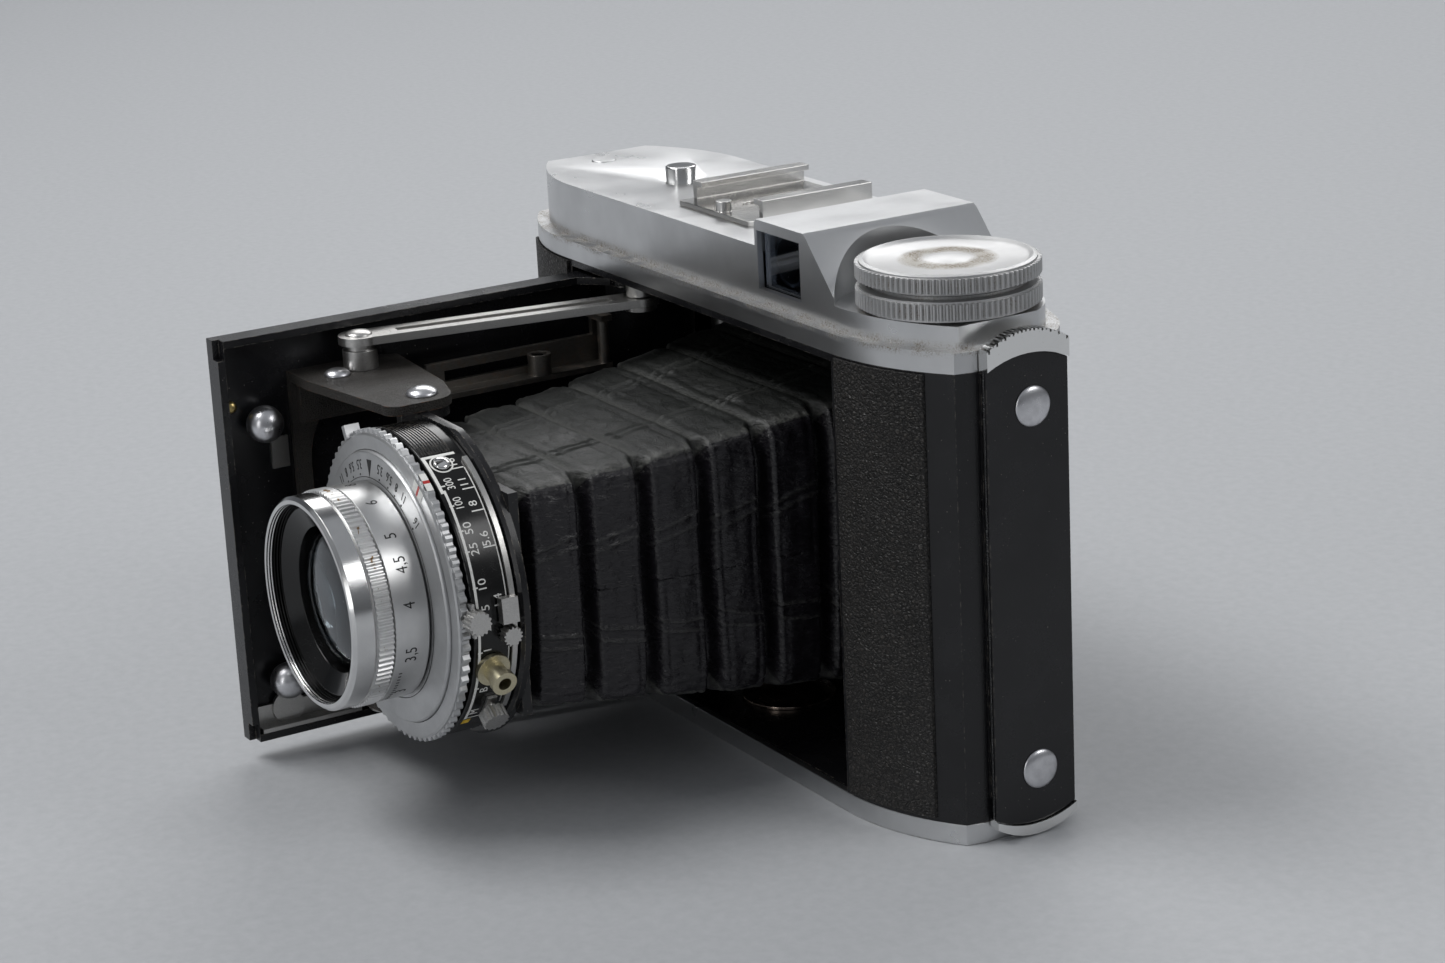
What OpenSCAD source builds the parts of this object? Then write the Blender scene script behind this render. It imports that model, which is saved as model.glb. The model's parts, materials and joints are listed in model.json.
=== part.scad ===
// Self-erecting 6 x 6 folding roll-film camera, opened for use.
// The origin is the tripod socket's mouth: X runs along the body towards the winding knob,
// Y runs from the lens to the back, and Z is up from the underside of the base.

/* [Body] */
// Half the length of the body, to its flat ends
body_half = 61.8; // [61.4:0.1:62.2]
// Front face of the body, in front of the spool line
front_face = 14.8; // [14.4:0.1:15.2]
// Back face of the body, behind the spool line
back_face = 20.8; // [20.6:0.1:21.6]
// Half length of the flat part of the front and back faces
flat_half = 40; // [39:0.5:41]
// Radius of the curved ends of the front and back faces
end_r = 36; // [35:0.5:37]
// Height of the bright rim round the base
base_rim = 3.2; // [3:0.1:3.4]
// Underside of the top cover's rim
cover_z = 70.5; // [70.3:0.1:71]
// Thickness of the top cover's rim
cover_rim = 3; // [2.5:0.1:3.5]
// Height of the low platform under the winding knob
knob_deck_z = 76.8; // [76.4:0.1:77]
// Height of the main deck of the top cover
deck_z = 82; // [81.5:0.1:82.5]
// Height of the viewfinder housing
finder_z = 86; // [85.5:0.1:87]

/* [Film] */
// Side of the square picture
picture = 56; // [54:0.5:57]
// Distance of each spool's axis from the lens axis
spool_x = 48; // [47.8:0.1:48.2]
// Radius of a spool's flanges
flange_r = 12.4; // [12:0.1:12.5]
// Length of a spool
spool_len = 63; // [62:0.5:63]

/* [Lens and shutter] */
// Height of the lens axis
lens_z = 36.2; // [36:0.1:36.4]
// Front of the focusing mount, ahead of the spool line
lens_tip = 81.1; // [80.8:0.1:81.3]
// Radius of the front of the focusing mount, which takes slip-on accessories
mount_r = 16; // [15.8:0.1:16.1]
// Radius of the shutter case
case_r = 23.3; // [23:0.1:23.4]
// Back of the shutter case, ahead of the spool line
case_back = 58.7; // [58.5:0.1:58.8]

/* [Door and struts] */
// Outer face of the open lens door, to the side of the lens axis
door_x = 36.8; // [36.6:0.1:36.9]
// Tip of the open lens door, ahead of the spool line
door_tip = 78.7; // [78:0.1:78.8]
// Lowest edge of the lens door
door_z0 = 3.4; // [3.4:0.1:3.6]
// Highest edge of the lens door
door_z1 = 68.6; // [68.2:0.1:68.7]
// Width of a lens strut
strut_w = 6.4; // [6:0.1:6.4]

/* [Hidden] */

$fn = 64;
eps = 0.02;             // overlap that joins two shapes into one
slip = 0.06;            // running clearance of a shaft in its bore
mid_y = (back_face - front_face) / 2;
knob = [spool_x, 0.5];
supply = [-spool_x, 0.5];
chamber_r = flange_r + 0.5;
near_r = 15.6;          // radius of the body round the take-up spool
near_flat = 37.8;       // near end of the flat of the back face
chamber_wall = 1.2;
floor_z = base_rim;     // floor of the bay that the lens folds into
ceiling_z = 69.4;       // ceiling of that bay
split_y = 13;           // the body ends here and the back cover begins
gate_y = 14.6;          // plane of the film rails' feet
bay_far = 37.5;         // far side of the front opening
bay_near = 40.2;        // near side of the front opening

hinge = [-28.5, -10.5];             // axis of the lens door
strut_pivot = [-21.7, -11.2];       // axis of the two lens struts
post = [-29.6, -56.6];              // posts that the struts hold, on the bracket
swing = [-9.4, -56];                // axis on which the shutter swings in its bracket
strut_z = 65.5;                     // underside of the upper strut
strut_t = 1.3;
plate_z = 60;                       // underside of the bracket's upper plate
plate_t = 1.5;
skin = 1;                           // thickness of the door's sheet metal
door_rim = 4;                       // depth of the door's turned edges

back_axis = [-62.9, 13.1];          // axis of the back cover
finder_x0 = 17.2;                   // far side of the finder housing
finder_top_x = 30.6;                // near edge of its flat top
finder_foot_x = 39.2;               // foot of its sloping near side
scoop_r = 16.3;                     // radius of the clearance round the winding knob
finder_mid = (finder_x0 + finder_top_x) / 2;
release_at = [-31.5, 3];
door_button_at = [-53.9, 1];
shoe_x = [-14.5, 6.3];
shoe_y = [-4.6, 15.2];

// ---------- shared shapes ----------

function arc(cx, cy, r, a0, a1, n = 12) =
    [for (i = [0:n]) let (a = a0 + (a1 - a0) * i / n) [cx + r * cos(a), cy + r * sin(a)]];

// Plan of the body, drawn in by a distance
function plan(inset) = let (
    r = end_r - inset, side = body_half - inset,
    front_c = end_r - front_face, back_c = back_face - end_r,
    front = concat(arc(flat_half, front_c, r, -90, -54), [[side, front_c - r * sin(54) + 2.7]]),
    near_back = concat([[side, 7.4 - 0.7 * inset]], arc(spool_x, 0.5, near_r - inset, 30, 70),
        [[near_flat - 0.18 * inset, back_face - inset]]),
    far = concat(front, [[side, back_c + r * sin(54) - 2.7]], arc(flat_half, back_c, r, 54, 90)))
    concat(front, near_back, [for (i = [len(far) - 1:-1:0]) [-far[i][0], far[i][1]]]);

module slab(z0, z1, inset = 0) {
    translate([0, 0, z0]) linear_extrude(z1 - z0) polygon(plan(inset));
}

module block(x, y, z) {
    translate([x[0], y[0], z[0]]) cube([x[1] - x[0], y[1] - y[0], z[1] - z[0]]);
}

module rod(at, r, z0, z1) {
    translate([at[0], at[1], z0]) cylinder(r = r, h = z1 - z0);
}

// A copy of the upper parts below the lens axis
module both_ends() {
    children();
    translate([0, 0, 2 * lens_z]) mirror([0, 0, 1]) children();
}

// A turned part on the lens axis: points are [radius, distance ahead of the spool line]
module turned(points, sides = 96) {
    translate([0, 0, lens_z]) rotate([90, 0, 0]) rotate_extrude($fn = sides) polygon(points);
}

// Puts a part that stands on +Z at an angle round the lens axis and a distance ahead
module around_lens(angle, ahead) {
    translate([0, -ahead, lens_z]) rotate([0, 90 - angle, 0]) children();
}

function knurl(r, teeth, depth) = [for (i = [0:4 * teeth - 1])
    let (a = 90 * i / teeth, rr = (i % 4 < 2) ? r : r - depth) [rr * cos(a), rr * sin(a)]];

module domed_rivet(at, r, z0, rise) {
    translate([at[0], at[1], z0]) rotate_extrude($fn = 48)
        polygon(concat([[0, 0], [r, 0]], [for (i = [1:8]) [r * cos(i * 11.25), rise * sin(i * 11.25)]]));
}

// ---------- body ----------

// Plan of the bay between the spool chambers that the lens folds into
module bay_plan() {
    difference() {
        translate([-bay_far, -front_face - 3]) square([bay_far + bay_near, front_face + split_y + 4]);
        for (c = [knob, supply]) translate(c) circle(r = chamber_r + chamber_wall);
    }
}

module chamber(c) {
    rod(c, chamber_r, 4.2, ceiling_z - 0.4);
    block([c[0] - chamber_r, c[0] + chamber_r], [c[1], split_y + 1], [4.2, ceiling_z - 0.4]);
}

module body_shell() {
    color([0.06, 0.06, 0.065]) difference() {
        union() {
            intersection() {
                union() {
                    slab(base_rim, cover_z);
                    slab(1.1, base_rim + eps, 1.3);
                }
                block([-70, 70], [-20, split_y], [0, 80]);
            }
            back_knuckles([[5, 20], [54, 69]]);
        }
        translate([0, 0, floor_z]) linear_extrude(ceiling_z - floor_z) bay_plan();
        chamber(knob);
        chamber(supply);
        rod([0, 0], 4.6, 0, 4);
        rod(knob, 2.7, 60, 80);
        rod(knob, 2.62, 0, 8);
        rod(supply, 2.62, 0, 8);
        rod(supply, 2.62, 60, 72);
        for (p = [[hinge, 1.02], [strut_pivot, 1.52]]) {
            rod(p[0], p[1], 1.9, 4);
            rod(p[0], p[1], 69, 70.2);
        }
        rod(back_axis, 1.02, 3, 71);
        rod(back_axis, 2.05, 20.1, 53.9);
        rod(release_at, 1.1, 69, 72);
        rod(door_button_at, 1.3, 69.3, 72);
        roller_pockets();
    }
}

// Pockets for the ends of the film's guide rollers
module roller_pockets() {
    for (x = [-roller_x, roller_x]) rod([x, roller_y], 0.86, 2, 70.2);
}

module back_knuckles(spans) {
    for (s = spans) difference() {
        union() {
            rod(back_axis, 1.9, s[0], s[1]);
            block([back_axis[0], -body_half + 1.5], [back_axis[1] - 1.9, back_axis[1] - 0.2], s);
        }
        rod(back_axis, 1.02, s[0] - 1, s[1] + 1);
    }
}

// Section of the finder housing across the camera, drawn in by a wall
function finder_section(wall) = [[finder_x0 + wall, finder_z - 0.6 - wall],
    [finder_x0 + 0.5 + wall, finder_z - wall], [finder_top_x - wall / 2, finder_z - wall],
    [finder_top_x + 0.8 - wall / 2, finder_z - 0.5 - wall],
    [finder_foot_x - wall, knob_deck_z + 0.4 - wall], [finder_foot_x - wall, knob_deck_z - 3],
    [finder_x0 + wall, knob_deck_z - 3]];

module finder_mass(wall) {
    intersection() {
        translate([0, 17.2 - wall, 0]) rotate([90, 0, 0]) linear_extrude(34) polygon(finder_section(wall));
        slab(0, 100, 2 + wall);
    }
}

module deck_mass(wall) {
    intersection() {
        slab(cover_z + cover_rim - 1, deck_z - wall, 2 + wall);
        block([-70, 28 - wall], [-30, 30], [0, 100]);
    }
}

module cover_mass(wall) {
    difference() {
        union() {
            slab(cover_z + cover_rim - 1, knob_deck_z - wall, 2 + wall);
            deck_mass(wall);
            finder_mass(wall);
        }
        rod(knob, scoop_r + wall, knob_deck_z - wall, 100);
    }
}

module top_cover() {
    color([0.78, 0.78, 0.77]) difference() {
        union() {
            difference() {
                slab(cover_z, cover_z + cover_rim);
                slab(cover_z - 1, cover_z + cover_rim - 1, 1.2);
                slab(cover_z, cover_z + cover_rim + 1, 2.4);
            }
            difference() {
                cover_mass(0);
                cover_mass(1);
                slab(60, cover_z + cover_rim - 0.5, 3);
            }
        }
        rod(knob, 3, 70, 90);
        rod(release_at, 2.56, 70, 90);
        rod(door_button_at, 2.06, 70, 90);
        translate([release_at[0], release_at[1], deck_z + 14.8]) sphere(r = 15.5, $fn = 64);
        block([finder_x0 + 0.7, finder_top_x - 1], [-20, -8], [knob_deck_z - 1.2, finder_z - 1.6]);
        translate([finder_mid, 10, 80.5]) rotate([-90, 0, 0]) cylinder(r = 3.6, h = 20);
    }
}

module bottom_cover() {
    color([0.78, 0.78, 0.77]) difference() {
        slab(0, base_rim);
        slab(1, base_rim + 1, 1.2);
        rod([0, 0], 4.1, -1, 4);
    }
}

module tripod_bush() {
    color([0.82, 0.8, 0.74]) difference() {
        union() {
            rod([0, 0], 4, 0, 3.3);
            translate([0, 0, base_rim + 0.01]) rotate_extrude()
                polygon(concat([[0, 0], [7.5, 0], [7.5, 0.5]],
                    [for (i = [1:8]) [6.6 * cos(i * 11.25), 0.5 + 1.6 * sin(i * 11.25)]]));
        }
        rod([0, 0], 3.175, -1, 4.2);
    }
}

module finder_front_lens() {
    color([0.7, 0.78, 0.8]) block([finder_x0 + 1.1, finder_top_x - 1.1], [-11.7, -10.6],
        [knob_deck_z - 1.1, finder_z - 1.7]);
}

module finder_rear_lens() {
    color([0.7, 0.78, 0.8]) translate([finder_mid, 14.6, 80.5]) rotate([-90, 0, 0])
        cylinder(r = 3.5, h = 2.4);
}

module finder_tube() {
    color([0.08, 0.08, 0.08]) translate([finder_mid, -10.4, 80.5]) rotate([-90, 0, 0]) difference() {
        cylinder(r = 4, h = 24.6);
        translate([0, 0, -1]) cylinder(r = 3.4, h = 27);
    }
}

module accessory_shoe() {
    rail = 1.1;
    color([0.8, 0.8, 0.79]) difference() {
        union() {
            block([shoe_x[0], shoe_x[1]], [shoe_y[0] - 2.6, shoe_y[1]], [deck_z + 0.02, deck_z + 0.8]);
            for (x = [shoe_x[0], shoe_x[1] - rail])
                block([x, x + rail], shoe_y, [deck_z + 0.5, deck_z + 3.6]);
            block([shoe_x[0], shoe_x[0] + 2.6], shoe_y, [deck_z + 2.7, deck_z + 3.6]);
            block([shoe_x[1] - 2.6, shoe_x[1]], shoe_y, [deck_z + 2.7, deck_z + 3.6]);
            rod([(shoe_x[0] + shoe_x[1]) / 2 + 1, shoe_y[0] - 1.3], 1.25, deck_z + 0.5, deck_z + 2.4);
        }
        for (y = [0.4, 10.2]) translate([(shoe_x[0] + shoe_x[1]) / 2, y, deck_z + 0.45])
            cylinder(r = 1.9, h = 1);
    }
}

// A leather panel laid on the body between two places along its length
module panel(x, y, z0, z1) {
    intersection() {
        difference() {
            slab(z0, z1, -0.5);
            slab(z0 - 1, z1 + 1, -0.02);
        }
        block(x, y, [z0, z1]);
    }
}

module leather_near() {
    color([0.1, 0.1, 0.1]) panel([bay_near + 1.2, 57.4], [-20, 0], base_rim + 0.6, cover_z - 0.3);
}

module leather_far() {
    color([0.1, 0.1, 0.1]) panel([-57.4, -bay_far - 0.8], [-20, 0], base_rim + 0.6, cover_z - 0.3);
}

// ---------- film path ----------

roller_x = 34.7;
roller_y = 12.1;

module film_gate() {
    half = picture / 2;
    color([0.09, 0.09, 0.09]) difference() {
        union() {
            block([-31.9, 31.9], [split_y + 0.05, gate_y], [4.4, 68]);
            for (z = [lens_z - half - 2.4, lens_z + half + 1]) block([-31.9, 31.9],
                [gate_y - eps, gate_y + 0.6], [z, z + 1.4]);
        }
        block([-half, half], [0, 20], [lens_z - half, lens_z + half]);
    }
}

module bellows_frame() {
    half = picture / 2;
    color([0.09, 0.09, 0.09]) difference() {
        block([-31, 31], [split_y - 0.9, split_y], [lens_z - half - 3, lens_z + half + 3]);
        block([-half - 0.4, half + 0.4], [0, 20], [lens_z - half - 0.4, lens_z + half + 0.4]);
    }
}

bellows_back = 12;
bellows_front = 55.4;
pleats = 7;

// Half width and half height of the bellows, t running from the back to the front
function bellows_half(t) = [27.4 - 7 * t, 25.6 - 8.6 * t];

module bellows_ring(t, grow) {
    h = bellows_half(t);
    y = bellows_back - t * (bellows_back + bellows_front);
    block([-h[0] - grow, h[0] + grow], [y - 0.2, y + 0.2], [lens_z - h[1] - grow, lens_z + h[1] + grow]);
}

module bellows() {
    color([0.05, 0.05, 0.05]) difference() {
        for (i = [0:2 * pleats - 1]) hull() {
            bellows_ring(0.005 + 0.99 * i / (2 * pleats), i % 2 == 0 ? -1.6 : 1);
            bellows_ring(0.005 + 0.99 * (i + 1) / (2 * pleats), i % 2 == 0 ? 1 : -1.6);
        }
        hull() {
            bellows_ring(-0.02, -3);
            bellows_ring(1.02, -3);
        }
    }
}

module guide_roller(x) {
    color([0.75, 0.75, 0.74]) union() {
        rod([x, roller_y], 2.6, 4.4, 68.2);
        rod([x, roller_y], 0.8, 2.2, 70);
    }
}

module guide_roller_near() { guide_roller(roller_x); }
module guide_roller_far() { guide_roller(-roller_x); }

module spool(c, z0) {
    color([0.12, 0.12, 0.12]) difference() {
        union() {
            rod(c, flange_r, z0, z0 + 0.9);
            rod(c, 6, z0 + 0.5, z0 + spool_len - 0.5);
            rod(c, flange_r, z0 + spool_len - 0.9, z0 + spool_len);
        }
        rod(c, 2.8, z0 - 1, z0 + spool_len + 1);
        for (z = [z0 - 1, z0 + spool_len - 4]) block([c[0] - 4.6, c[0] + 4.6], [c[1] - 0.9, c[1] + 0.9], [z, z + 5]);
    }
}

module take_up_spool() { spool(knob, lens_z - spool_len / 2); }
module supply_spool() { spool(supply, lens_z - spool_len / 2); }

module spool_pins() {
    color([0.75, 0.72, 0.6]) union() {
        for (c = [knob, supply]) rod(c, 2.6, 1.15, 8);
        rod(supply, 2.6, 64.5, 70.4);
    }
}

// ---------- controls on the top ----------

module knurled_disc(r, z0, z1) {
    translate([knob[0], knob[1], z0]) linear_extrude(z1 - z0) polygon(knurl(r, 90, 0.45));
}

module advance_knob() {
    color([0.82, 0.82, 0.81]) difference() {
        union() {
            knurled_disc(13.3, 77.5, 79.8);
            rod(knob, 12.8, 77.2, 80.1);
            rod(knob, 11.2, 77, 80.5);
        }
        rod(knob, 2.2, 76, 82);
    }
}

module winding_shaft() {
    color([0.7, 0.7, 0.7]) difference() {
        union() {
            rod(knob, 2.2, 66, 82.4);
            block([knob[0] - 4.2, knob[0] + 4.2], [knob[1] - 0.6, knob[1] + 0.6], [64.4, 67.4]);
        }
        rod(knob, 1, 81.9, 83);
    }
}

module reminder_dial() {
    color([0.82, 0.82, 0.81]) difference() {
        union() {
            knurled_disc(13.3, 81.3, 83.4);
            translate([knob[0], knob[1], 80.6]) rotate_extrude($fn = 96) polygon([[2.3, 0], [11.4, 0],
                [11.4, 0.6], [12.7, 0.6], [12.7, 3.1], [12.1, 3.3], [11.2, 2.8], [5.4, 2.2], [2.3, 2.2]]);
        }
        rod(knob, 2.3, 80, 85);
    }
    color([0.82, 0.82, 0.81]) translate([knob[0], knob[1], 82.5]) rotate_extrude()
        polygon(concat([[0, 0], [4, 0], [4, 0.5]], [for (i = [1:6]) [4 * cos(i * 15), 0.5 + 0.8 * sin(i * 15)]]));
}

module release_button() {
    color([0.84, 0.84, 0.83]) union() {
        rod(release_at, 2.5, 79.5, deck_z + 2.3);
        rod(release_at, 1, 72.6, 79.6);
    }
}

module door_button() {
    color([0.84, 0.84, 0.83]) union() {
        rod(door_button_at, 2, 79.5, deck_z + 0.15);
        rod(door_button_at, 1.2, 72.6, 79.6);
    }
}

// ---------- lens door ----------

module door_ear(z0, z1) {
    translate([0, 0, z0]) linear_extrude(z1 - z0) difference() {
        union() {
            translate(hinge) circle(r = 2.2);
            polygon([[-door_x, hinge[1] - 2.3], [hinge[0], hinge[1] + 2.2], [hinge[0] + 2.2, hinge[1]],
                [-door_x + door_rim, -16.5], [-door_x + door_rim, -19], [-door_x, -19]]);
        }
        translate(hinge) circle(r = 1 + slip);
    }
}

module lens_door() {
    color([0.06, 0.06, 0.065]) difference() {
        union() {
            difference() {
                block([-door_x, -door_x + door_rim], [-door_tip, hinge[1] - 2.3], [door_z0, door_z1]);
                block([-door_x + skin, 0], [-door_tip + 1.2, 0], [door_z0 + 1.2, door_z1 - 1.2]);
            }
            door_ear(door_z0, door_z0 + 1.2);
            door_ear(door_z1 - 1.2, door_z1);
        }
        // the corners of the turned edges are cut back at the tip
        for (z = [door_z0 - 1, door_z1 - 3]) translate([-door_x + 2.2, -door_tip - 1, z]) cube([4, 2.1, 4]);
    }
}

module door_leather() {
    color([0.1, 0.1, 0.1]) block([-door_x - 0.5, -door_x - 0.01], [-door_tip + 1.2, hinge[1] - 3.4],
        [door_z0 + 1.4, door_z1 - 1.4]);
}

// Bright strip and its rivet at the foot of the door
module door_strip() {
    x = -door_x + skin;
    color([0.75, 0.74, 0.72]) union() {
        block([x + 0.02, x + 0.8], [-77, -60], [5, 8.4]);
        block([x + 0.02, x + 3.2], [-77, -60], [4.7, 5.4]);
        translate([x + 0.7, -71.7, 7.6]) rotate([0, 90, 0]) cylinder(r = 2.7, h = 0.8);
    }
}

// Guide links fixed inside the door, under the upper strut
module door_links() {
    x0 = hinge[0] - 3.3;
    color([0.42, 0.38, 0.34]) difference() {
        union() {
            block([-door_x + skin + 0.02, x0 + 4.4], [-15.4, -13.4], [62, 63]);
            block([x0, x0 + 1], [-15.4, -13.6], [55, 62.4]);
            block([x0, x0 + 1], [-45, -13.6], [55, 59.4]);
            block([x0, x0 + 4.2], [-45, -13.6], [54.2, 55.1]);
            rod([x0 + 3.2, -14.6], 0.9, 55, 62.2);
            rod([x0 + 2.6, -26], 1.9, 55, 58.4);
        }
        block([x0 - 1, x0 + 2], [-42, -24], [56.2, 58]);
        rod([x0 + 2.6, -26], 1.3, 53, 60);
    }
}

module catch_stud(z) {
    x = -door_x + skin;
    color([0.85, 0.85, 0.85]) translate([x, -72, z]) union() {
        translate([0.05, 0, 0]) rotate([0, 90, 0]) cylinder(r = 1.1, h = 1.4);
        translate([3.1, 0, 0]) sphere(r = 2.9);
    }
}

module catch_stud_top() { catch_stud(54.6); }
module catch_stud_bottom() { catch_stud(12.6); }

// ---------- lens bracket and struts ----------

module bracket_plate() {
    linear_extrude(plate_t) difference() {
        union() {
            translate(swing) circle(r = 4.4);
            translate([swing[0] + 1.9, -61]) circle(r = 2.5);
            polygon([[-35.7, -66.6], [-28, -66.6], [swing[0] + 1.5, -63.5], [swing[0] + 4.4, -61],
                [swing[0] + 4.4, swing[1]], [swing[0] + 1.5, swing[1] + 4.1], [-14, -50.2],
                [-33.5, -48.6], [-35.7, -52]]);
        }
        translate(swing) circle(r = 1.42);
    }
}

// Side of the bracket that slides along the door, open in the middle for the folded lens
module bracket_side() {
    opening_h = 17.5;
    difference() {
        block([-33.5, -32.3], [-66, -45.3], [2 * lens_z - plate_z - plate_t, plate_z + plate_t]);
        block([-34, -31], [-70, -48.3], [lens_z - opening_h, lens_z + opening_h]);
        for (z = [plate_z + plate_t, 2 * lens_z - plate_z - plate_t])
            translate([-34, -45.3, z]) rotate([0, 90, 0]) cylinder(r = 3.3, h = 4);
    }
}

// Leg that joins the upper and lower plates along the door, with an arch at each end
module bracket_leg() {
    arch = arc(-52, lens_z + 10, 12, 90, 180, 10);
    upper = concat([[-66.6, lens_z], [-66.6, plate_z + eps], [-50, plate_z + eps], [-50, plate_z - 1.6]],
        [for (p = arch) [p[0], p[1] + 0.4]], [[-64, lens_z]]);
    translate([-35.7, 0, 0]) rotate([90, 0, 90]) linear_extrude(1) polygon(upper);
}

module lens_bracket() {
    color([0.12, 0.11, 0.1]) union() {
        both_ends() {
            translate([0, 0, plate_z]) bracket_plate();
            bracket_leg();
        }
        bracket_side();
    }
}

module bracket_rivets() {
    color([0.85, 0.85, 0.85]) both_ends() {
        union() {
            domed_rivet(swing, 2.5, plate_z + plate_t, 1.2);
            rod(swing, 1.4, plate_z - 1.8, plate_z + plate_t + eps);
        }
        domed_rivet([-28, -61.4], 2.1, plate_z + plate_t, 1.1);
    }
}

module strut_posts() {
    color([0.78, 0.78, 0.78]) both_ends() union() {
        rod(post, 2.7, plate_z + plate_t, strut_z - 0.9);
        rod(post, 2.3, strut_z - 1, strut_z - 0.08);
    }
}

strut_len = norm(post - strut_pivot);
strut_dir = (post - strut_pivot) / strut_len;
strut_angle = atan2(strut_dir[1], strut_dir[0]);

// A slotted strut along +X from its pivot, with the rivet that holds its post
module strut_shape() {
    difference() {
        union() {
            cylinder(r = strut_w / 2 - 0.2, h = strut_t);
            translate([0, -strut_w / 2 + 0.4, 0]) cube([strut_len, strut_w - 0.8, strut_t]);
            translate([strut_len, 0, 0]) cylinder(r = strut_w / 2, h = strut_t);
            domed_rivet([strut_len, 0], 2.1, strut_t, 0.7);
        }
        translate([0, 0, -1]) cylinder(r = 1.5 + slip, h = 4);
        translate([5, -0.9, strut_t - 0.5]) cube([strut_len - 11, 1.8, 2]);
        translate([5, -0.55, -1]) cube([strut_len - 11, 1.1, 4]);
    }
}

module strut_top() {
    color([0.8, 0.8, 0.79]) translate([strut_pivot[0], strut_pivot[1], strut_z])
        rotate([0, 0, strut_angle]) strut_shape();
}

module strut_bottom() {
    color([0.8, 0.8, 0.79]) translate([0, 0, 2 * lens_z]) mirror([0, 0, 1])
        translate([strut_pivot[0], strut_pivot[1], strut_z]) rotate([0, 0, strut_angle]) strut_shape();
}

module strut_pins() {
    color([0.7, 0.68, 0.64]) both_ends() union() {
        rod(strut_pivot, 1.5, strut_z - 0.3, 70.1);
        rod(strut_pivot, 2.6, strut_z - 0.9, strut_z - 0.1);
        rod(strut_pivot, 2.2, strut_z + strut_t + 0.1, ceiling_z - 0.3);
    }
}

module hinge_pins() {
    color([0.7, 0.7, 0.7]) both_ends() rod(hinge, 1, 66.9, 70.1);
}

// ---------- lens board and shutter ----------

module lens_board() {
    color([0.05, 0.05, 0.05]) difference() {
        union() {
            turned([[14, 57.2], [24.5, 57.2], [24.5, 58.2], [24, 58.65], [14, 58.65]]);
            block([-20, 20], [-57.3, -55.8], [lens_z - 17, lens_z + 17]);
            both_ends() {
                rod(swing, 4, plate_z - 1.6, plate_z - 0.12);
                block([swing[0] - 4, swing[0] + 4], [-58.6, swing[1]], [plate_z - 5, plate_z - 0.12]);
            }
        }
        turned([[0, 50], [14, 50], [14, 60], [0, 60]]);
        both_ends() {
            rod(swing, 1.4 + slip, plate_z - 8, plate_z + 1);
            block([-13, 13], [-59, -50], [plate_z - 0.12, plate_z + 2]);
            block([-14, 0], [-62, -case_back + 0.02], [plate_z - 6, plate_z + 2]);
        }
    }
}

module shutter_case() {
    color([0.05, 0.05, 0.05]) turned([[12.2, case_back], [case_r, case_back], [case_r, 65.6],
        [case_r - 0.2, 65.8], [14.2, 65.8], [14.2, 66.4], [12.2, 66.4]]);
}

module dof_ring() {
    color([0.74, 0.75, 0.76]) turned([[12.2, 66.42], [20.55, 66.42], [20.55, 68.3], [20.3, 68.6],
        [16.7, 68.9], [14.4, 68.9], [14.4, 74], [12.2, 74]]);
}

module speed_ring() {
    color([0.74, 0.75, 0.76]) union() {
        turned([[20.65, 66.45], [23, 66.45], [23, 67.8], [22.7, 68], [20.65, 68]]);
        translate([0, -66.5, lens_z]) rotate([90, 0, 0]) linear_extrude(1.1) difference() {
            polygon(knurl(23.6, 80, 0.5));
            circle(r = 21);
        }
        around_lens(116, 67.2) translate([-0.5, -1.4, 22.8]) cube([1, 2.4, 2]);
    }
}

module focus_ring() {
    color([0.8, 0.8, 0.8]) union() {
        turned([[14.5, 69.1], [15.9, 69.1], [16.2, 69.4], [16.2, 74.6], [15.7, 74.8], [15.7, 77.4],
            [mount_r - 0.2, 77.6], [mount_r, 77.8], [mount_r, lens_tip - 0.5], [mount_r - 0.5, lens_tip],
            [mount_r - 1.1, lens_tip], [14.6, 79.2], [14.6, 74.6], [14.5, 74.5]], 128);
        translate([0, -74.9, lens_z]) rotate([90, 0, 0]) linear_extrude(2.4) difference() {
            polygon(knurl(16.3, 110, 0.35));
            circle(r = 15);
        }
    }
}

module name_ring() {
    color([0.03, 0.03, 0.03]) turned([[10.9, 74.65], [14.55, 74.65], [14.55, 79], [14, 79.1], [10.9, 77.6]]);
}

// A glass: flat at one distance ahead, domed to another
module glass(r, back, edge, crown) {
    turned(concat([[0, back], [r, back], [r, edge]],
        [for (i = [1:8]) [r * cos(i * 11.25), edge + (crown - edge) * sin(i * 11.25)]]));
}

module front_glass() {
    color([0.6, 0.66, 0.72]) glass(10.85, 74.6, 75.6, 78.4);
}

module rear_cell() {
    color([0.1, 0.1, 0.1]) turned([[0, 54], [9, 54], [9, 52.4], [10.5, 52.4], [12, 56], [12, 61], [11, 61],
        [9.4, 56], [0, 56]]);
}

module blade_disc(ahead, count, r_in) {
    for (i = [0:count - 1]) translate([0, -ahead - 0.2 * i, lens_z]) rotate([90, 360 * i / count, 0])
        linear_extrude(0.12) difference() {
            intersection() {
                circle(r = 12);
                translate([r_in, -12]) square(24);
            }
            translate([-20, -20]) square([40, 14]);
        }
}

module aperture_blades() { color([0.25, 0.25, 0.26]) blade_disc(62.4, 8, 7.6); }
module shutter_blades() { color([0.15, 0.15, 0.16]) blade_disc(64.4, 5, -1); }

module sync_post() {
    color([0.78, 0.7, 0.5]) around_lens(-18.9, 62.8) difference() {
        union() {
            translate([0, 0, case_r - 0.05]) cylinder(r = 2.6, h = 0.8);
            translate([0, 0, case_r + 0.5]) cylinder(r = 1.6, h = 3.4);
            translate([0, 0, case_r + 3]) cylinder(r = 1.9, h = 1.2);
        }
        cylinder(r = 1, h = 40);
        turned_hole();
    }
}

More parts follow.
